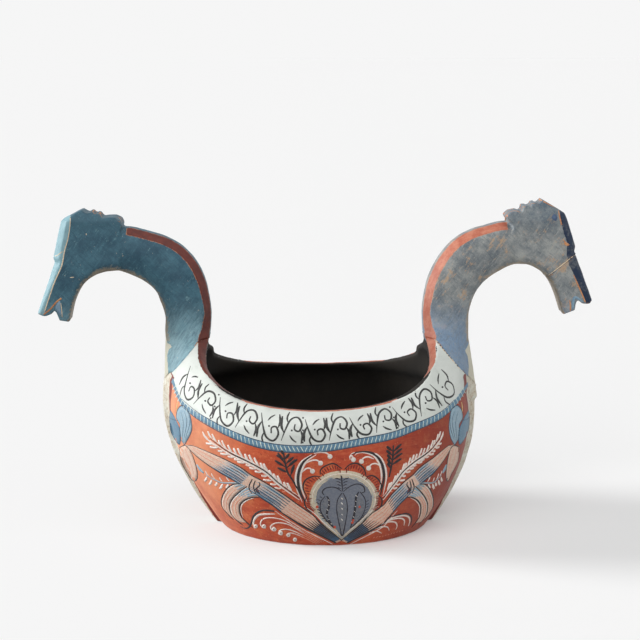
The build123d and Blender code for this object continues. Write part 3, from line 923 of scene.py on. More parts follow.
def paint_feather(p, canvas):
    """The long feather above the arm and the small frond below the tulip."""
    for shift, width in ((-1.5, 1.7), (1.9, 2.6)):
        p["white_line"].stroke(canvas, [(x, y + shift) for x, y in FEATHER[1:]], width, 0.2, 0.3)
    p["black_line"].stroke(canvas, FEATHER[1:], 1.6, 0.3, 0.5)
    p["white_line"].stroke(canvas, ((202.6, 431.6), (204.6, 436), (209, 441)), 3.0, 0.3, 0.3)
    p["white_line"].stroke(canvas, ((207, 439), (212, 443.5), (218, 447.5)), 2.2, 0.4, 0.3)
    feather_leaves(p["white_line"], canvas, FEATHER, 17, (-0.5, -0.87), 3.6, 9.0, 2.5, (0.12, 0.94))
    feather_leaves(p["pink_line"], canvas, FEATHER, 17, (-0.62, -0.78), 1.5, 4.0, 1.0, (0.14, 0.96))
    feather_leaves(p["white_line"], canvas, FEATHER, 14, (-0.95, -0.08), 4.6, 8.4, 2.4, (0.16, 0.86))
    feather_leaves(p["pink_line"], canvas, FEATHER, 14, (-0.93, 0.3), 2.2, 4.4, 1.0, (0.16, 0.88))
    p["grey_line"].stroke(canvas, FROND, 2.0, 0.5, 0.8)
    p["light_blue"].stroke(canvas, ((196.6, 464.5), (199.6, 469), (204, 473)), 5.4, 0.55, 0.4)
    feather_leaves(p["white_line"], canvas, FROND, 4, (-0.56, -0.82), 1.5, 7.0, 1.8, (0.12, 0.75))
    feather_leaves(p["white_line"], canvas, FROND, 5, (-0.5, 0.85), 1.2, 5.5, 2.8, (0.05, 0.7))


def paint_tulip(p, canvas):
    """The tulip at the bowl's end, with its pink leaf."""
    p["blue"].shape(canvas, TULIP_LEFT)
    p["light_blue"].shape(canvas, TULIP_RIGHT)
    for shift in (-3.2, 0.4, 3.6):
        vein = ((184 + shift, 411), (186.5 + shift, 422), (183.5 + 0.4 * shift, 440))
        p["blue_line"].stroke(canvas, vein, 1.0, 0.3, 0.3)
    p["blue_line"].stroke(canvas, TULIP_RIGHT + TULIP_RIGHT[:1], 1.0, 0.8, 0.8)
    p["blue_line"].stroke(canvas, ((169, 417), (173, 419.6), (178, 420.4)), 0.9)
    p["blue_line"].stroke(canvas, TULIP_LEFT + TULIP_LEFT[:1], 1.0, 0.8, 0.8)
    p["cream"].shape(canvas, PINK_LEAF)
    for vein in (
        ((182.5, 448), (185.5, 462), (192.5, 478)),
        ((185, 448), (190, 461), (194.8, 477)),
    ):
        p["pink_line"].stroke(canvas, vein, 1.2, 0.4, 0.4)
    p["black_line"].stroke(canvas, PINK_LEAF + PINK_LEAF[:1], 1.1, 0.6, 0.6)
    p["yellow"].stroke(canvas, ((177.5, 402), (176.6, 408), (177, 413)), 2.0, 0.4, 0.4)


def paint_tree(p, canvas, trunk, leaves):
    """A black sprig with drop-shaped leaves."""
    p["black_line"].stroke(canvas, trunk, 2.0, 0.8, 0.7)
    for leaf in leaves:
        p["black_line"].stroke(canvas, leaf, 1.5, 0.6, 0.6)
        tip = [0.6 * np.array(a) + 0.4 * np.array(b) for a, b in zip(leaf, leaf[1:])]
        p["black_line"].stroke(canvas, (tip[0], tip[1], leaf[-1]), 3.0, 0.35, 0.4)


def paint_medallion(p, canvas):
    """The heart-shaped medallion at the middle, with its three pods."""
    p["cream_top"].shape(canvas, MEDALLION_RING, (343.5, 502), 8)
    p["grey_blue"].shape(canvas, MEDALLION_FIELD, (343.5, 502), 8)
    p["grey_line"].stroke(canvas, MEDALLION_FIELD + MEDALLION_FIELD[:1], 1.8, 1.0, 1.0)
    middle = [0.5 * (np.array(a) + np.array(b)) for a, b in zip(MEDALLION_RING[:15], MEDALLION_FIELD[:15])]
    p["white_line"].stroke(canvas, middle, 1.0, 0.5, 0.5)
    for pod in (POD_MIDDLE, POD_LEFT, POD_RIGHT):
        p["teal"].shape(canvas, pod)
        p["black_top"].stroke(canvas, pod + pod[:1], 1.9, 1.0, 1.0)
    for shade in (POD_LEFT_SHADE, POD_RIGHT_SHADE):
        p["black_top"].stroke(canvas, shade, 4.6, 0.5, 0.3)
        for x, y in spread(shade, 6, 0.14, 0.86):
            p["white_top"].stroke(canvas, ((x - 0.5, y - 1.3), (x + 0.5, y + 1.3)), 2.1, 0.7, 0.7)
    for arch in POD_ARCHES:
        p["black_top"].stroke(canvas, arch, 2.2, 0.6, 0.9)
    for y in (498.6, 503.4, 508.6, 514.4, 519.6):
        p["white_top"].stroke(canvas, ((341.2, y - 1.6), (342.9, y + 1.6)), 2.2, 0.6, 0.6)
    for pod, way in ((POD_LEFT[:5], -1), (POD_RIGHT[1:5], 1)):
        for x, y in spread(pod, 9, 0.1, 0.8):
            p["black_top"].stroke(canvas, ((x, y), (x + way * 4.0, y - 2.2)), 1.4, 0.5, 1.0)
            p["black_top"].stroke(canvas, ((x - way * 1.0, y + 1.2), (x - way * 3.4, y - 1.2)), 1.2)
    p["black_top"].stroke(canvas, ((341.2, 475), (342, 483), (342.5, 492)), 2.2, 0.9, 0.7)
    for i in range(4):
        for side in (-1, 1):
            y = 479.2 + 2.9 * i
            tip = (342 + side * (7.0 - 0.9 * i), y - 1.2 + 0.5 * i)
            p["black_top"].stroke(canvas, ((342, y + 1.6), (342 + side * 3.4, y - 0.4), tip), 1.7, 0.5, 1.0)
    for x, y in ((317.2, 506.8), (334.6, 527), (353.2, 520.2), (359.5, 506.8), (352.4, 522.4)):
        p["red_dot"].dot(canvas, x, y, 1.5)


def paint_scallops(p, canvas):
    """Arcs with rays round the medallion."""
    centre = np.array((344.0, 500.0))
    for arc in SCALLOPS:
        p["black_line"].stroke(canvas, arc, 1.6, 0.6, 0.6)
        for spot in spread(arc, 9, 0.1, 0.9):
            inward = (centre - spot) / np.hypot(*(centre - spot))
            p["red_line"].stroke(canvas, (spot + inward * 1.6, spot + inward * 6.2), 1.2, 0.8, 0.3)


def paint_crescents(p, canvas):
    """The black and white crescents beside the medallion and their dotted curls."""
    for crescent, way in zip(CRESCENTS, (-1, 1)):
        for shift in (-2.4, 2.4):
            moved = [(x + shift, y + 0.4) for x, y in crescent]
            p["white_line"].stroke(canvas, moved, 2.0, 0.3, 0.2)
        p["black_line"].stroke(canvas, crescent, 2.8, 0.3, 0.4)
    for curl in CRESCENT_CURLS:
        p["white_line"].stroke(canvas, curl, 1.6, 0.4, 0.9)
        p["white_top"].dot(canvas, *curl[-1], 2.5)


def paint_rope(p, canvas):
    """The blue rope under the pale band, with its slanting pale ticks."""
    p["blue"].stroke(canvas, ROPE_LINE, 7.2, 0.7, 0.7, 5)
    line = spread(ROPE_LINE, 82, 0.01, 0.99)
    for i in range(1, len(line) - 1):
        step = line[i + 1] - line[i - 1]
        step /= np.hypot(*step)
        across = np.array((-step[1], step[0]))
        slant = across * 2.7 + step * (1.5 if i < 38 else -1.5)
        p["tick"].stroke(canvas, (line[i] - slant, line[i] + slant), 1.7, 0.7, 0.7)
    for shift in (-3.6, 3.6):
        moved = [(x, y + shift) for x, y in ROPE_LINE[1:-1]]
        p["blue_line"].stroke(canvas, moved, 0.9, 0.5, 0.5)


def band_place(u, v):
    """A pixel on the pale band: u along it, v from its rope (0) to its rim (1)."""
    bottom = spread(ROPE_LINE, 2, u, 1.0)[0]
    top = spread(RIM_LINE, 2, u, 1.0)[0]
    return bottom * (1 - v) + top * v


def paint_vine(p, canvas):
    """A running scroll with leaves along the pale band, in thin black brushwork."""
    rng = random.Random(SEED)
    for i in range(VINE_CELLS):
        u = 0.035 + 0.935 * i / VINE_CELLS
        way = 1 if i % 2 else -1
        size = 1.0 + 0.16 * (rng.random() - 0.5)

        def local(a, b):
            return band_place(min(0.99, u + a * 0.06), 0.5 + way * b * 0.5 * size)

        curl = ((0.0, -0.62), (0.16, -0.05), (0.42, 0.52), (0.8, 0.66), (1.02, 0.3), (0.88, -0.06),
                (0.64, 0.02), (0.66, 0.3))
        p["vine"].stroke(canvas, [local(a, b) for a, b in curl], 2.1, 0.3, 0.7)
        leaves = (
            ((0.1, -0.2), (-0.06, 0.18), (-0.04, 0.66)), ((0.96, 0.0), (1.06, -0.3), (1.0, -0.72)),
            ((0.3, 0.3), (0.22, 0.6), (0.34, 0.92)), ((0.4, -0.3), (0.54, -0.5), (0.76, -0.66)),
        )
        for leaf, width in zip(leaves, (2.7, 2.4, 1.8, 1.8)):
            p["vine"].stroke(canvas, [local(a, b) for a, b in leaf], width, 0.3, 0.5)
        p["vine"].dot(canvas, *local(0.5, -0.04), 1.0)
        if i % 4 == 2:
            for b in (-0.7, 0.0, 0.7):
                p["vine"].dot(canvas, *local(-0.12, b), 0.9)


LEFT_JOINT = ((198.6, 338.4), (190, 348), (181, 357.4), (173, 366), (167.8, 372.6))
RIGHT_JOINT = ((435.4, 339.6), (444, 350), (452, 359.6), (460, 368.6), (466.4, 374.6))
LEFT_NOSE_LINE = (
    (70.4, 216.6), (69.8, 227.4), (67.7, 239.8), (64.8, 249.8), (64, 253.9), (61.5, 266.3),
    (54.9, 281.3), (49.9, 295.4), (44.5, 311.9),
)
RIGHT_NOSE_LINES = (
    ((557.4, 206), (558.2, 210), (559.8, 217.4), (561.6, 225)),
    ((563.4, 240), (566, 243), (567.4, 244.6)),
    ((573.6, 275), (578.4, 286), (582.4, 295), (586, 304)),
    ((569.6, 300), (570.4, 305.6), (570.2, 311.6)),
)
CREST_LINES_LEFT = (
    ((64.4, 215), (70, 211.4), (77, 208), (84, 207.6), (88, 210)), ((92.4, 211.4), (94.4, 210.4), (97, 212.4)),
    ((99, 213.6), (101, 212.8), (104, 215)), ((118, 216.6), (122, 218.6), (123.6, 222)),
)
CREST_LINES_RIGHT = (
    ((505.4, 221), (505.4, 217), (508, 213.4), (512.4, 211), (517.4, 211.2), (520.4, 212.6)),
    ((521.6, 210.6), (522.4, 207.2), (525.4, 206.4)), ((530, 205.6), (532, 203.2), (535, 203.8)),
    ((537.4, 201.8), (539.6, 199.8), (542, 200.6), (548.6, 204.2), (557, 208.4)),
)
LEFT_MOUTH = ((43.6, 314.6), (50.7, 308.8), (56.5, 302), (61.5, 298.3))
RIGHT_MUZZLE_LINE = ((574.2, 255.4), (567, 261), (558, 268.2), (548.4, 275.4))
LEFT_MARKS = (
    ((70, 277.6), (74, 277.3)), ((86, 233.6), (86.6, 235)), ((52.8, 253.6), (56, 256), (62.4, 251.6)),
)


def paint_heads(p, left, right):
    """Bare arrises, mouths, the fine muzzle joint and scratches on the horses' heads."""
    p["bare_line"].stroke(left, LEFT_NOSE_LINE, 1.1, 0.7, 0.9)
    p["bare_wood"].stroke(left, LEFT_MOUTH, 1.7, 0.8, 1.2)
    p["pale_blue"].shape(left, ((56.4, 303.6), (60, 300.8), (60.6, 308), (61.4, 316.4), (58, 313), (55.4, 308.6)), None, 2)
    p["bare_line"].stroke(left, ((60.8, 303), (61.6, 310), (62.2, 317.4)), 0.9, 0.5, 0.7)
    muzzle_edge = ((573, 309), (573.2, 303), (574.6, 297.4), (578.4, 298.8), (583, 302))
    p["pale_blue"].stroke(right, muzzle_edge, 2.8, 0.8, 0.5)
    for line in CREST_LINES_LEFT:
        p["bare_wood"].stroke(left, line, 1.7, 0.5, 0.5)
    for line in CREST_LINES_RIGHT:
        p["bare_wood"].stroke(right, line, 1.2, 0.5, 0.5)
    for mark in LEFT_MARKS:
        p["bare_line"].stroke(left, mark, 1.0, 0.6, 0.6)
    for line in RIGHT_NOSE_LINES:
        p["bare_wood"].stroke(right, line, 1.4, 0.5, 1.0)
    p["bare_wood"].shape(right, ((564.6, 241), (567.4, 243), (570, 245), (566.6, 246), (564.2, 244)), None, 2)
    p["bare_line"].stroke(right, RIGHT_MUZZLE_LINE, 0.9, 0.6, 0.6)
    p["eye"].shape(right, ((554.4, 213.8), (557.4, 217), (556, 221), (552.8, 219.4), (551.8, 216.4)), None, 2)


def paint_rim(p, canvas):
    """The fine red line along the rim's outer edge."""
    side = -1.0 if canvas.turn == FRONT else 1.0
    rows = []
    for angle in np.radians(np.linspace(55, 125, 80)):
        row = []
        for radius in (RIM_OUTER - 3.6 * MM, RIM_OUTER - 1.8 * MM, RIM_OUTER - 0.2 * MM):
            x = RIM_CENTRE_X + radius * math.cos(angle)
            y = side * radius * math.sin(angle)
            row.append(canvas.beside(Vector((x, y, RIM_HEIGHT + 1 * MM))))
        rows.append(row)
    p["rim_thread"].skin(rows)


def paint_joints(p, left, right):
    """The chipped filler over the joints at the necks' feet."""
    rng = random.Random(SEED)
    for canvas, line in ((left, LEFT_JOINT), (right, RIGHT_JOINT)):
        p["bare_line"].stroke(canvas, [(x + 0.5, y + 0.8) for x, y in line], 1.1, 0.5, 0.9)
        marks = spread(line, 15)
        for a, b in zip(marks, marks[1:]):
            if rng.random() < 0.7:
                p["black_line"].stroke(canvas, (a, 0.4 * a + 0.6 * b), 0.9 + 0.9 * rng.random(), 0.6, 0.6)


def paint_ornament(bowl, left_head, right_head):
    """All the brushwork, on the bowl's front and rear and on both heads."""
    tree = surface_tree(bowl)
    p = {name: Paint("painted_" + name, lift * MM) for name, lift in LAYERS.items()}
    for turn in (FRONT, OTHER_SIDE):
        paint_heads(p, Canvas(left_head, turn), Canvas(right_head, turn))
    for turn in (FRONT, REAR):
        whole = Canvas(tree, turn)
        halves = (whole, Canvas(tree, turn, mirrored=True))
        paint_joints(p, whole, whole)
        paint_rim(p, whole)
        for half in halves:
            paint_feather(p, half)
            paint_leaves(p, half)
            paint_band(p, half)
            paint_tulip(p, half)
        paint_scroll(p, whole)
        paint_arcs(p, whole)
        paint_tree(p, whole, TREE_LEFT, TREE_LEFT_LEAVES)
        paint_tree(p, whole, TREE_RIGHT, TREE_RIGHT_LEAVES)
        paint_scallops(p, whole)
        paint_crescents(p, whole)
        paint_medallion(p, whole)
        paint_rope(p, whole)
        paint_vine(p, whole)
    for name, paint in p.items():
        paint.finish(brush_material("brushed_" + name, *BRUSH_COLOURS[name]))


# Materials


def srgb(red, green, blue):
    """A colour given as it looks on screen, 0 to 255, as linear light."""
    parts = []
    for value in (red, green, blue):
        value /= 255.0
        parts.append(value / 12.92 if value <= 0.04045 else ((value + 0.055) / 1.055) ** 2.4)
    return (*parts, 1.0)


class Nodes:
    """Short names for building a material's node tree."""

    def __init__(self, name):
        self.material = bpy.data.materials.new(name)
        self.material.use_nodes = True
        self.tree = self.material.node_tree
        self.shader = self.tree.nodes["Principled BSDF"]
        place = self.tree.nodes.new("ShaderNodeTexCoord")
        self.place = place.outputs["Object"]

    def wire(self, value, socket):
        """Sets a socket to a number, a colour or another node's output."""
        if isinstance(value, bpy.types.NodeSocket):
            self.tree.links.new(value, socket)
        else:
            socket.default_value = value

    def attribute(self, name):
        """One of the mesh's own numbers."""
        node = self.tree.nodes.new("ShaderNodeAttribute")
        node.attribute_name = name
        return node.outputs["Fac"]

    def noise(self, size, detail=4.0, rough=0.6, stretch=(1, 1, 1), seed=0.0, turn=(0, 0, 0)):
        """Cloudy noise whose patches are about size metres wide, from 0 to 1."""
        turned = self.tree.nodes.new("ShaderNodeMapping")
        turned.inputs["Rotation"].default_value = turn
        self.tree.links.new(self.place, turned.inputs["Vector"])
        mapping = self.tree.nodes.new("ShaderNodeMapping")
        mapping.inputs["Scale"].default_value = stretch
        mapping.inputs["Location"].default_value = (seed, seed * 0.7, -seed)
        self.tree.links.new(turned.outputs["Vector"], mapping.inputs["Vector"])
        node = self.tree.nodes.new("ShaderNodeTexNoise")
        node.inputs["Scale"].default_value = 1.0 / size
        node.inputs["Detail"].default_value = detail
        node.inputs["Roughness"].default_value = rough
        self.tree.links.new(mapping.outputs["Vector"], node.inputs["Vector"])
        return node.outputs["Fac"]

    def math(self, kind, a, b=0.0, clamp=False):
        """One sum of two values."""
        node = self.tree.nodes.new("ShaderNodeMath")
        node.operation = kind
        node.use_clamp = clamp
        self.wire(a, node.inputs[0])
        self.wire(b, node.inputs[1])
        return node.outputs[0]

    def step(self, value, low, high, out_low=0.0, out_high=1.0):
        """Smooth step of a value from low to high."""
        node = self.tree.nodes.new("ShaderNodeMapRange")
        node.interpolation_type = "SMOOTHSTEP"
        self.wire(value, node.inputs["Value"])
        node.inputs["From Min"].default_value = low
        node.inputs["From Max"].default_value = high
        node.inputs["To Min"].default_value = out_low
        node.inputs["To Max"].default_value = out_high
        return node.outputs[0]

    def mix(self, share, a, b):
        """Colour a, turning into b as share goes from 0 to 1."""
        node = self.tree.nodes.new("ShaderNodeMix")
        node.data_type = "RGBA"
        self.wire(share, node.inputs["Factor"])
        self.wire(a, node.inputs["A"])
        self.wire(b, node.inputs["B"])
        return node.outputs["Result"]

    def finish(self, colour, rough, bump=None, depth=0.0):
        """Wires the colour, the roughness and the relief, and returns the material."""
        self.wire(colour, self.shader.inputs["Base Color"])
        self.wire(rough, self.shader.inputs["Roughness"])
        self.shader.inputs["Specular IOR Level"].default_value = 0.35
        if bump is not None:
            node = self.tree.nodes.new("ShaderNodeBump")
            node.inputs["Strength"].default_value = 1.0
            node.inputs["Distance"].default_value = depth
            self.wire(bump, node.inputs["Height"])
            self.tree.links.new(node.outputs["Normal"], self.shader.inputs["Normal"])
        return self.material


BARE_WOOD = srgb(196, 150, 104)
OLD_WOOD = srgb(150, 98, 62)
DIRT = srgb(52, 42, 36)
RED_GROUND = srgb(196, 82, 54)
PALE_GROUND = srgb(214, 222, 210)


def red_strip(n):
    """The red paint of the bevels, in a shaded and a lit copy: painted shade makes it dark on the left neck, painted
    light makes it salmon on the right.
    """
    patch = n.noise(7 * MM, 5, 0.7, seed=2.0)
    fine = n.noise(1.2 * MM, 3, 0.7, seed=3.0)
    # painted shade: the dark copy of the red, for the left neck and the left end of the rim
    dark = n.mix(n.step(patch, 0.35, 0.7), srgb(86, 34, 26), srgb(112, 48, 35))
    dark = n.mix(n.step(fine, 0.66, 0.8, 0, 0.6), dark, srgb(160, 88, 60))
    # painted light: the pale salmon copy of the red, for the right neck and the right end of the rim
    pale = n.mix(n.step(patch, 0.35, 0.7), srgb(170, 92, 70), srgb(192, 126, 102))
    pale = n.mix(n.step(fine, 0.3, 0.2, 0, 0.7), pale, srgb(168, 78, 58))
    return n.mix(n.attribute("right"), dark, pale)


def bowl_material():
    """Red field, pale band, red rim, dark inside and the worn wood between them, with painted light on the red field
    towards the left end and painted shade towards the right end.
    """
    n = Nodes("painted_bowl")
    cloud = n.noise(30 * MM, 5, 0.6)
    streak = n.noise(4 * MM, 4, 0.65, stretch=(0.25, 0.25, 1.6), seed=1.0)
    fine = n.noise(1.1 * MM, 4, 0.7, seed=5.0)
    speck = n.noise(2.6 * MM, 3, 0.75, seed=6.0)

    blotch = n.noise(13 * MM, 5, 0.7, seed=4.0)
    field = n.mix(n.step(cloud, 0.3, 0.7), srgb(176, 64, 40), srgb(206, 94, 56))
    field = n.mix(n.step(blotch, 0.5, 0.68, 0, 0.6), field, srgb(222, 128, 78))
    field = n.mix(n.step(blotch, 0.46, 0.32, 0, 0.55), field, srgb(144, 46, 32))
    field = n.mix(n.step(streak, 0.45, 0.75, 0, 0.45), field, srgb(216, 116, 76))
    field = n.mix(n.step(streak, 0.25, 0.45, 0.5, 0), field, srgb(142, 48, 32))
    field = n.mix(n.step(speck, 0.60, 0.70, 0, 0.8), field, srgb(230, 150, 96))
    field = n.mix(n.step(speck, 0.40, 0.30, 0, 0.6), field, srgb(118, 42, 30))

    split = n.tree.nodes.new("ShaderNodeSeparateXYZ")
    n.tree.links.new(n.place, split.inputs["Vector"])
    along = split.outputs["X"]
    # painted light: a paler orange over the red field towards the left end, standing in for the key lamp's
    # brightness and sheen there
    painted_left_light = n.math("MULTIPLY", n.step(along, -50 * MM, -115 * MM, 0, 0.85), n.step(cloud, 0.3, 0.6, 0.5, 1))
    field = n.mix(painted_left_light, field, srgb(238, 166, 126))
    # painted shade: a darker red over the field towards the right end, away from the key lamp
    field = n.mix(n.step(along, 0 * MM, 105 * MM, 0, 0.75), field, srgb(118, 38, 28))

    pale = n.mix(n.step(cloud, 0.35, 0.7), srgb(212, 217, 211), srgb(224, 228, 223))
    pale = n.mix(n.step(streak, 0.5, 0.8, 0, 0.45), pale, srgb(202, 207, 201))
    pale = n.mix(n.step(blotch, 0.44, 0.3, 0, 0.5), pale, srgb(192, 198, 190))
    pale = n.mix(n.step(speck, 0.67, 0.74, 0, 0.5), pale, srgb(172, 172, 156))

    wobble = n.math("MULTIPLY", n.math("SUBTRACT", n.noise(5 * MM, 2, 0.5, seed=8.0), 0.5), 1.4)
    rope = n.math("ADD", n.attribute("rope"), wobble)
    colour = n.mix(n.step(rope, -0.3, 0.3), field, pale)

    stem = n.math("ADD", n.attribute("stem"), n.math("MULTIPLY", wobble, 0.6))
    stem_colour = n.mix(n.step(speck, 0.45, 0.7), srgb(212, 206, 190), srgb(180, 160, 134))
    stem_colour = n.mix(n.step(n.noise(7 * MM, 4, 0.7, seed=9.0), 0.5, 0.65), stem_colour, srgb(222, 222, 210))
    edge_line = n.math("MULTIPLY", n.step(stem, -3.2, -2.6), n.step(stem, 0.1, -0.5))
    colour = n.mix(n.step(stem, -0.3, 0.2), colour, stem_colour)
    colour = n.mix(edge_line, colour, srgb(118, 40, 30))

    back = n.attribute("back")
    colour = n.mix(n.step(back, 0.4, 0.6), colour, srgb(84, 112, 132))
    ragged = n.math("MULTIPLY", n.math("SUBTRACT", fine, 0.5), 0.35)
    strip = n.math("ADD", n.attribute("strip"), ragged)
    colour = n.mix(n.step(strip, 0.42, 0.56), colour, red_strip(n))

    worn = n.math("ADD", n.attribute("worn"), n.math("MULTIPLY", n.math("SUBTRACT", speck, 0.5), 0.9))
    colour = n.mix(n.step(worn, 0.34, 0.5, 0, 0.85), colour, n.mix(fine, BARE_WOOD, OLD_WOOD))

    dark = n.mix(n.step(cloud, 0.3, 0.7), srgb(14, 10, 6), srgb(27, 22, 16))
    inside = n.math("ADD", n.attribute("inside"), n.math("MULTIPLY", ragged, 0.5))
    colour = n.mix(n.step(inside, 0.45, 0.6), colour, dark)
    rough = n.math("MAXIMUM", n.step(fine, 0.2, 0.8, 0.48, 0.66), n.step(inside, 0.45, 0.6, 0, 0.95))
    relief = n.math("ADD", n.math("MULTIPLY", fine, 0.5), streak)
    return n.finish(colour, rough, relief, 0.16 * MM)


def neck_material(name, deep, light, patch_colour, patch_share, nose_lit_or_shaded, foot_colour, crest_colour, seed):
    """Blue paint brushed criss-cross over a neck and head, worn at every arris, with painted light or shade on the
    nose facets.
    """
    n = Nodes(name)
    cloud = n.noise(16 * MM, 5, 0.65, seed=seed)
    hatch_a = n.noise(3.0 * MM, 4, 0.8, stretch=(0.2, 1, 1.5), seed=seed + 1, turn=(0, 0.95, 0))
    hatch_b = n.noise(2.6 * MM, 4, 0.8, stretch=(0.2, 1, 1.5), seed=seed + 2, turn=(0, -0.75, 0))
    blotch = n.noise(9 * MM, 5, 0.75, seed=seed + 5)
    fine = n.noise(0.9 * MM, 4, 0.75, seed=seed + 3)
    speck = n.noise(2.4 * MM, 3, 0.8, seed=seed + 4)
    colour = n.mix(n.step(cloud, 0.3, 0.72), deep, light)
    colour = n.mix(n.step(hatch_a, 0.50, 0.66, 0, 0.7), colour, light)
    colour = n.mix(n.step(hatch_b, 0.50, 0.34, 0, 0.65), colour, deep)
    patch = n.math("ADD", n.math("MULTIPLY", blotch, 0.6), n.math("MULTIPLY", hatch_a, 0.4))
    colour = n.mix(n.step(patch, 0.62 - patch_share, 0.70 - patch_share, 0, 0.8), colour, patch_colour)
    colour = n.mix(n.step(hatch_b, 0.64, 0.74, 0, 0.6), colour, patch_colour)
    split = n.tree.nodes.new("ShaderNodeSeparateXYZ")
    n.tree.links.new(n.place, split.inputs["Vector"])
    foot = n.step(split.outputs["Z"], 192 * MM, 148 * MM, 0, 0.9)
    foot = n.math("MULTIPLY", foot, n.step(hatch_a, 0.3, 0.62, 0.35, 1.0))
    colour = n.mix(foot, colour, foot_colour)
    crest = n.math("MULTIPLY", n.step(split.outputs["Z"], 236 * MM, 258 * MM, 0, 0.75), n.step(blotch, 0.35, 0.6, 0.3, 1))
    colour = n.mix(crest, colour, crest_colour)
    colour = n.mix(n.step(fine, 0.5, 0.68, 0, 0.4), colour, light)
    colour = n.mix(n.step(fine, 0.48, 0.32, 0, 0.45), colour, deep)
    rubbed = n.math("ADD", n.attribute("rubbed"), n.math("MULTIPLY", n.math("SUBTRACT", speck, 0.5), 1.6))
    colour = n.mix(n.step(rubbed, 0.35, 0.75, 0, 0.8), colour, n.mix(blotch, srgb(58, 50, 44), srgb(206, 188, 160)))
    colour = n.mix(n.step(speck, 0.66, 0.74, 0, 0.75), colour, srgb(206, 196, 176))
    colour = n.mix(n.step(speck, 0.34, 0.26, 0, 0.6), colour, srgb(34, 44, 50))
    nose = n.math("ADD", n.attribute("nose"), n.math("MULTIPLY", n.math("SUBTRACT", fine, 0.5), 0.3))
    # the nose facets take painted light (pale blue, left head) or painted shade (near-black blue, right head)
    nose_paint = n.mix(n.step(blotch, 0.45, 0.7, 0, 0.3), nose_lit_or_shaded, light)
    colour = n.mix(n.step(nose, 0.42, 0.58), colour, nose_paint)
    throat = n.math("ADD", n.attribute("throat"), n.math("MULTIPLY", n.math("SUBTRACT", speck, 0.5), 0.6))
    colour = n.mix(n.step(throat, 0.45, 0.6, 0, 0.92), colour, n.mix(fine, srgb(226, 214, 190), srgb(196, 200, 184)))
    ragged = n.math("MULTIPLY", n.math("SUBTRACT", fine, 0.5), 0.4)
    strip = n.math("ADD", n.attribute("strip"), ragged)
    colour = n.mix(n.step(strip, 0.42, 0.58), colour, red_strip(n))
    seam = n.math("MULTIPLY", n.step(strip, 0.25, 0.45), n.step(strip, 0.75, 0.55))
    colour = n.mix(n.math("MULTIPLY", seam, n.step(speck, 0.4, 0.6)), colour, srgb(206, 140, 98))
    worn = n.math("ADD", n.attribute("worn"), n.math("MULTIPLY", n.math("SUBTRACT", speck, 0.5), 1.0))
    colour = n.mix(n.step(worn, 0.32, 0.5, 0, 0.85), colour, n.mix(fine, BARE_WOOD, OLD_WOOD))
    rough = n.step(fine, 0.2, 0.8, 0.45, 0.65)
    relief = n.math("ADD", n.math("MULTIPLY", fine, 0.5), n.math("ADD", hatch_a, hatch_b))
    return n.finish(colour, rough, relief, 0.14 * MM)


# Each colour of brushwork: its thick and thin tones, how worn it is, and a seed
BRUSH_COLOURS = {
    "cream": ((226, 200, 182), (212, 168, 146), 0.10, 1.0),
    "blue": ((84, 120, 146), (112, 148, 168), 0.06, 3.0),
    "light_blue": ((138, 168, 186), (166, 188, 198), 0.08, 4.0),
    "deep_blue": ((50, 76, 104), (72, 104, 130), 0.05, 5.0),
    "blue_line": ((38, 56, 76), (62, 86, 108), 0.08, 6.0),
    "pink_line": ((226, 158, 132), (204, 122, 96), 0.14, 7.0),
    "grey_line": ((140, 156, 166), (166, 178, 182), 0.10, 8.0),
    "white_line": ((236, 230, 224), (230, 206, 192), 0.12, 9.0),
    "tick": ((196, 216, 218), (224, 228, 204), 0.10, 10.0),
    "black_line": ((26, 22, 24), (52, 42, 44), 0.07, 11.0),
    "red_line": ((104, 28, 22), (132, 42, 32), 0.08, 12.0),
    "cream_top": ((206, 196, 174), (190, 170, 144), 0.06, 13.0),
    "grey_blue": ((102, 110, 124), (124, 126, 134), 0.05, 14.0),
    "teal": ((96, 104, 114), (128, 126, 130), 0.03, 14.5),
    "yellow": ((226, 204, 140), (214, 176, 116), 0.10, 15.0),
    "vine": ((34, 34, 34), (70, 72, 70), 0.08, 16.0),
    "black_top": ((28, 26, 34), (44, 42, 52), 0.02, 17.0),
    "white_top": ((232, 228, 220), (214, 204, 196), 0.03, 18.0),
    "red_dot": ((206, 84, 56), (180, 62, 44), 0.02, 19.0),
    "dark_dot": ((60, 30, 30), (90, 40, 34), 0.02, 20.0),
    "bare_line": ((232, 214, 186), (214, 184, 146), 0.02, 21.0),
    "bare_wood": ((208, 150, 104), (168, 104, 68), 0.02, 22.0),
    "eye": ((62, 82, 112), (84, 104, 132), 0.02, 23.0),
    "pale_blue": ((132, 160, 176), (110, 140, 168), 0.02, 25.0),
    "rim_thread": ((160, 74, 56), (206, 132, 96), 0.04, 24.0),
}


def brush_material(name, thick, thin, wear, seed):
    """Brushed paint of one colour, thinner in streaks, rubbed through to the red ground."""
    n = Nodes(name)
    streak = n.noise(1.6 * MM, 4, 0.7, seed=seed)
    patch = n.noise(6 * MM, 4, 0.7, seed=seed + 1)
    colour = n.mix(n.step(streak, 0.38, 0.68), srgb(*thick), srgb(*thin))
    rubbed = n.math("ADD", n.math("MULTIPLY", streak, 0.55), n.math("MULTIPLY", patch, 0.45))
    ground = PALE_GROUND if "vine" in name else RED_GROUND
    colour = n.mix(n.step(rubbed, 0.74 - wear, 0.80 - wear, 0, 0.9), colour, ground)
    return n.finish(colour, n.step(streak, 0.2, 0.8, 0.42, 0.6), streak, 0.05 * MM)


def dowel_material():
    """Plain birch, for the hidden dowels."""
    n = Nodes("birch")
    grain = n.noise(1.5 * MM, 4, 0.6, stretch=(1, 1, 0.12))
    colour = n.mix(grain, srgb(188, 148, 100), srgb(220, 186, 138))
    return n.finish(colour, 0.6, grain, 0.05 * MM)


# Floor and light


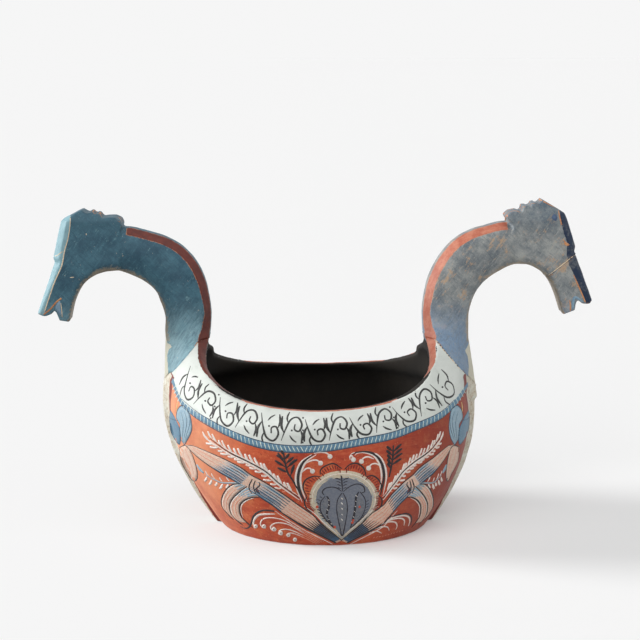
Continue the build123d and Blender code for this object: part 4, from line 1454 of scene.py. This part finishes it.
def floor_material():
    """A pale paper floor that the camera sees as the photograph's background."""
    n = Nodes("paper")
    n.shader.inputs["Roughness"].default_value = 0.9
    n.shader.inputs["Specular IOR Level"].default_value = 0.0
    split = n.tree.nodes.new("ShaderNodeSeparateXYZ")
    n.tree.links.new(n.place, split.inputs["Vector"])
    pale = n.step(split.outputs["X"], -200 * MM, 120 * MM, FLOOR_LEFT, FLOOR_RIGHT)
    n.tree.links.new(pale, n.shader.inputs["Base Color"])
    path = n.tree.nodes.new("ShaderNodeLightPath")
    direct = n.math("MAXIMUM", path.outputs["Is Camera Ray"], path.outputs["Is Glossy Ray"])
    missing = n.math("SUBTRACT", BACKGROUND, n.math("MULTIPLY", pale, FLOOR_LIT))
    glow = n.math("MULTIPLY", direct, missing)
    n.shader.inputs["Emission Color"].default_value = (1.0, 1.0, 1.0, 1.0)
    n.tree.links.new(glow, n.shader.inputs["Emission Strength"])
    return n.material


FLOOR_LIT = 0.908
FLOOR_LEFT = 0.15
FLOOR_RIGHT = 0.80
BACKGROUND = 0.92
WORLD_LEVEL = 0.17


def add_floor():
    """The floor, wide enough to meet the backdrop beyond the frame."""
    reach = 30.0
    corners = [(-reach, -reach, 0), (reach, -reach, 0), (reach, reach, 0), (-reach, reach, 0)]
    floor = new_mesh("floor", corners, [(0, 1, 2, 3)], smooth=False)
    floor.location.z = cad_low.z
    floor.data.materials.append(floor_material())


def add_sun(name, toward, strength, spread, colour=(1.0, 1.0, 1.0)):
    """A lamp that shines from one direction, softened by its spread in degrees."""
    data = bpy.data.lights.new(name, "SUN")
    data.energy = strength
    data.angle = math.radians(spread)
    data.color = colour
    obj = link(bpy.data.objects.new(name, data))
    obj.rotation_mode = "QUATERNION"
    obj.rotation_quaternion = (-Vector(toward)).to_track_quat("-Z", "Y")


def add_world():
    """Even light from all round, shown to the camera as the pale backdrop."""
    world = bpy.data.worlds.new("studio")
    bpy.context.scene.world = world
    world.use_nodes = True
    tree = world.node_tree
    background = tree.nodes["Background"]
    path = tree.nodes.new("ShaderNodeLightPath")
    direct = tree.nodes.new("ShaderNodeMath")
    direct.operation = "MAXIMUM"
    tree.links.new(path.outputs["Is Camera Ray"], direct.inputs[0])
    tree.links.new(path.outputs["Is Glossy Ray"], direct.inputs[1])
    seen = tree.nodes.new("ShaderNodeMapRange")
    seen.inputs["To Min"].default_value = WORLD_LEVEL
    seen.inputs["To Max"].default_value = BACKGROUND
    tree.links.new(direct.outputs[0], seen.inputs["Value"])
    tree.links.new(seen.outputs[0], background.inputs["Strength"])
    background.inputs["Color"].default_value = (1.0, 1.0, 1.0, 1.0)


def add_lights():
    """A large soft lamp from the left, a weak one from the front, and the world."""
    add_sun("key", (-0.95, 0.16, 0.26), 3.3, 22.0)
    add_sun("top", (0.25, -0.35, 0.9), 1.2, 60.0)
    add_sun("front", (-0.45, -1.0, 0.36), 1.15, 50.0)
    add_world()


# Building the object


# Half width of the pale strips down the ends, at heights, in millimetres
STEM_HALF = ((0, 9), (40, 12), (75, 17), (100, 24), (112, 28), (126, 28), (134, 1))


def stem_distance(mesh):
    """How far inside the strips down the ends: 0 at their edge, 10 in the middle."""
    places = coordinates(mesh)
    x, y, z = places.T
    rows = np.array(STEM_HALF, float)
    half = np.interp(z / MM, rows[:, 0], rows[:, 1])
    inside_edge = 10.0 * (half - np.abs(y) / MM) / np.maximum(half, 8.0)
    return np.where(np.abs(x) > 40 * MM, inside_edge, -20.0)


def rope_height(canvases):
    """Angle and height of the rope border all round, from the photograph's line."""
    angles, heights = [], []
    for canvas in canvases:
        for x, y in ROPE_LINE:
            place = canvas.at(x, y)[0]
            if place is not None:
                angles.append(math.atan2(place.y, place.x - RIM_CENTRE_X))
                heights.append(place.z)
    order = np.argsort(angles)
    return np.array(angles)[order], np.array(heights)[order]


def dress_bowl():
    """The bowl's surface with its painted zones."""
    bowl = carved("painted_bowl", "bowl_body", BOWL_VOXEL, 5, SEED)
    paint_zones(bowl)
    tree = surface_tree(bowl)
    angles, heights = rope_height((Canvas(tree), Canvas(tree, REAR)))
    places = coordinates(bowl.data)
    angle = np.arctan2(places[:, 1], places[:, 0] - RIM_CENTRE_X)
    level = np.interp(angle, angles, heights, period=2 * math.pi)
    add_attribute(bowl.data, "rope", (places[:, 2] - level) / MM)
    add_attribute(bowl.data, "stem", stem_distance(bowl.data))
    bowl.data.materials.append(bowl_material())
    return bowl


def dress_handles():
    """The necks and heads, each with its own blue."""
    left_paint = neck_material(
        "left_neck_paint", srgb(38, 72, 90), srgb(74, 116, 132), srgb(118, 156, 164), 0.05,
        # painted light on the left head's nose facets: the pale blue that starts this line
        srgb(138, 176, 186), srgb(146, 182, 192), srgb(50, 84, 98), 11.0,
    )
    right_paint = neck_material(
        "right_neck_paint", srgb(92, 102, 110), srgb(164, 166, 162), srgb(186, 154, 122), 0.09,
        # painted shade on the right head's nose facets: the near-black blue that starts this line
        srgb(14, 34, 60), srgb(118, 148, 180), srgb(56, 84, 104), 21.0,
    )
    pieces = []
    for name, node, paint, slot in (
        ("left_handle_surface", "left_horse_handle", left_paint, "blue_painted_wood"),
        ("right_handle_surface", "right_horse_handle", right_paint, "grey_blue_painted_wood"),
        ("right_muzzle_surface", "right_muzzle", right_paint, "grey_blue_painted_wood"),
    ):
        piece = carved(name, node, HEAD_VOXEL, 4, SEED + 2)
        paint_zones(piece)
        piece.data.materials.append(paint)
        pieces.append(piece)
    return pieces


def dress_dowels():
    """The hidden dowels keep their CAD shape."""
    birch = dowel_material()
    for name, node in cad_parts.items():
        if "dowel" in name:
            node.data.materials.clear()
            node.data.materials.append(birch)


def main():
    """Builds the scene from the surfaces up."""
    scene = bpy.context.scene
    scene.view_settings.view_transform = "Standard"
    add_camera()
    add_floor()
    add_lights()
    bowl = dress_bowl()
    left, right, muzzle = dress_handles()
    paint_ornament(bowl, surface_tree(left), surface_tree(right, muzzle))
    dress_dowels()


main()
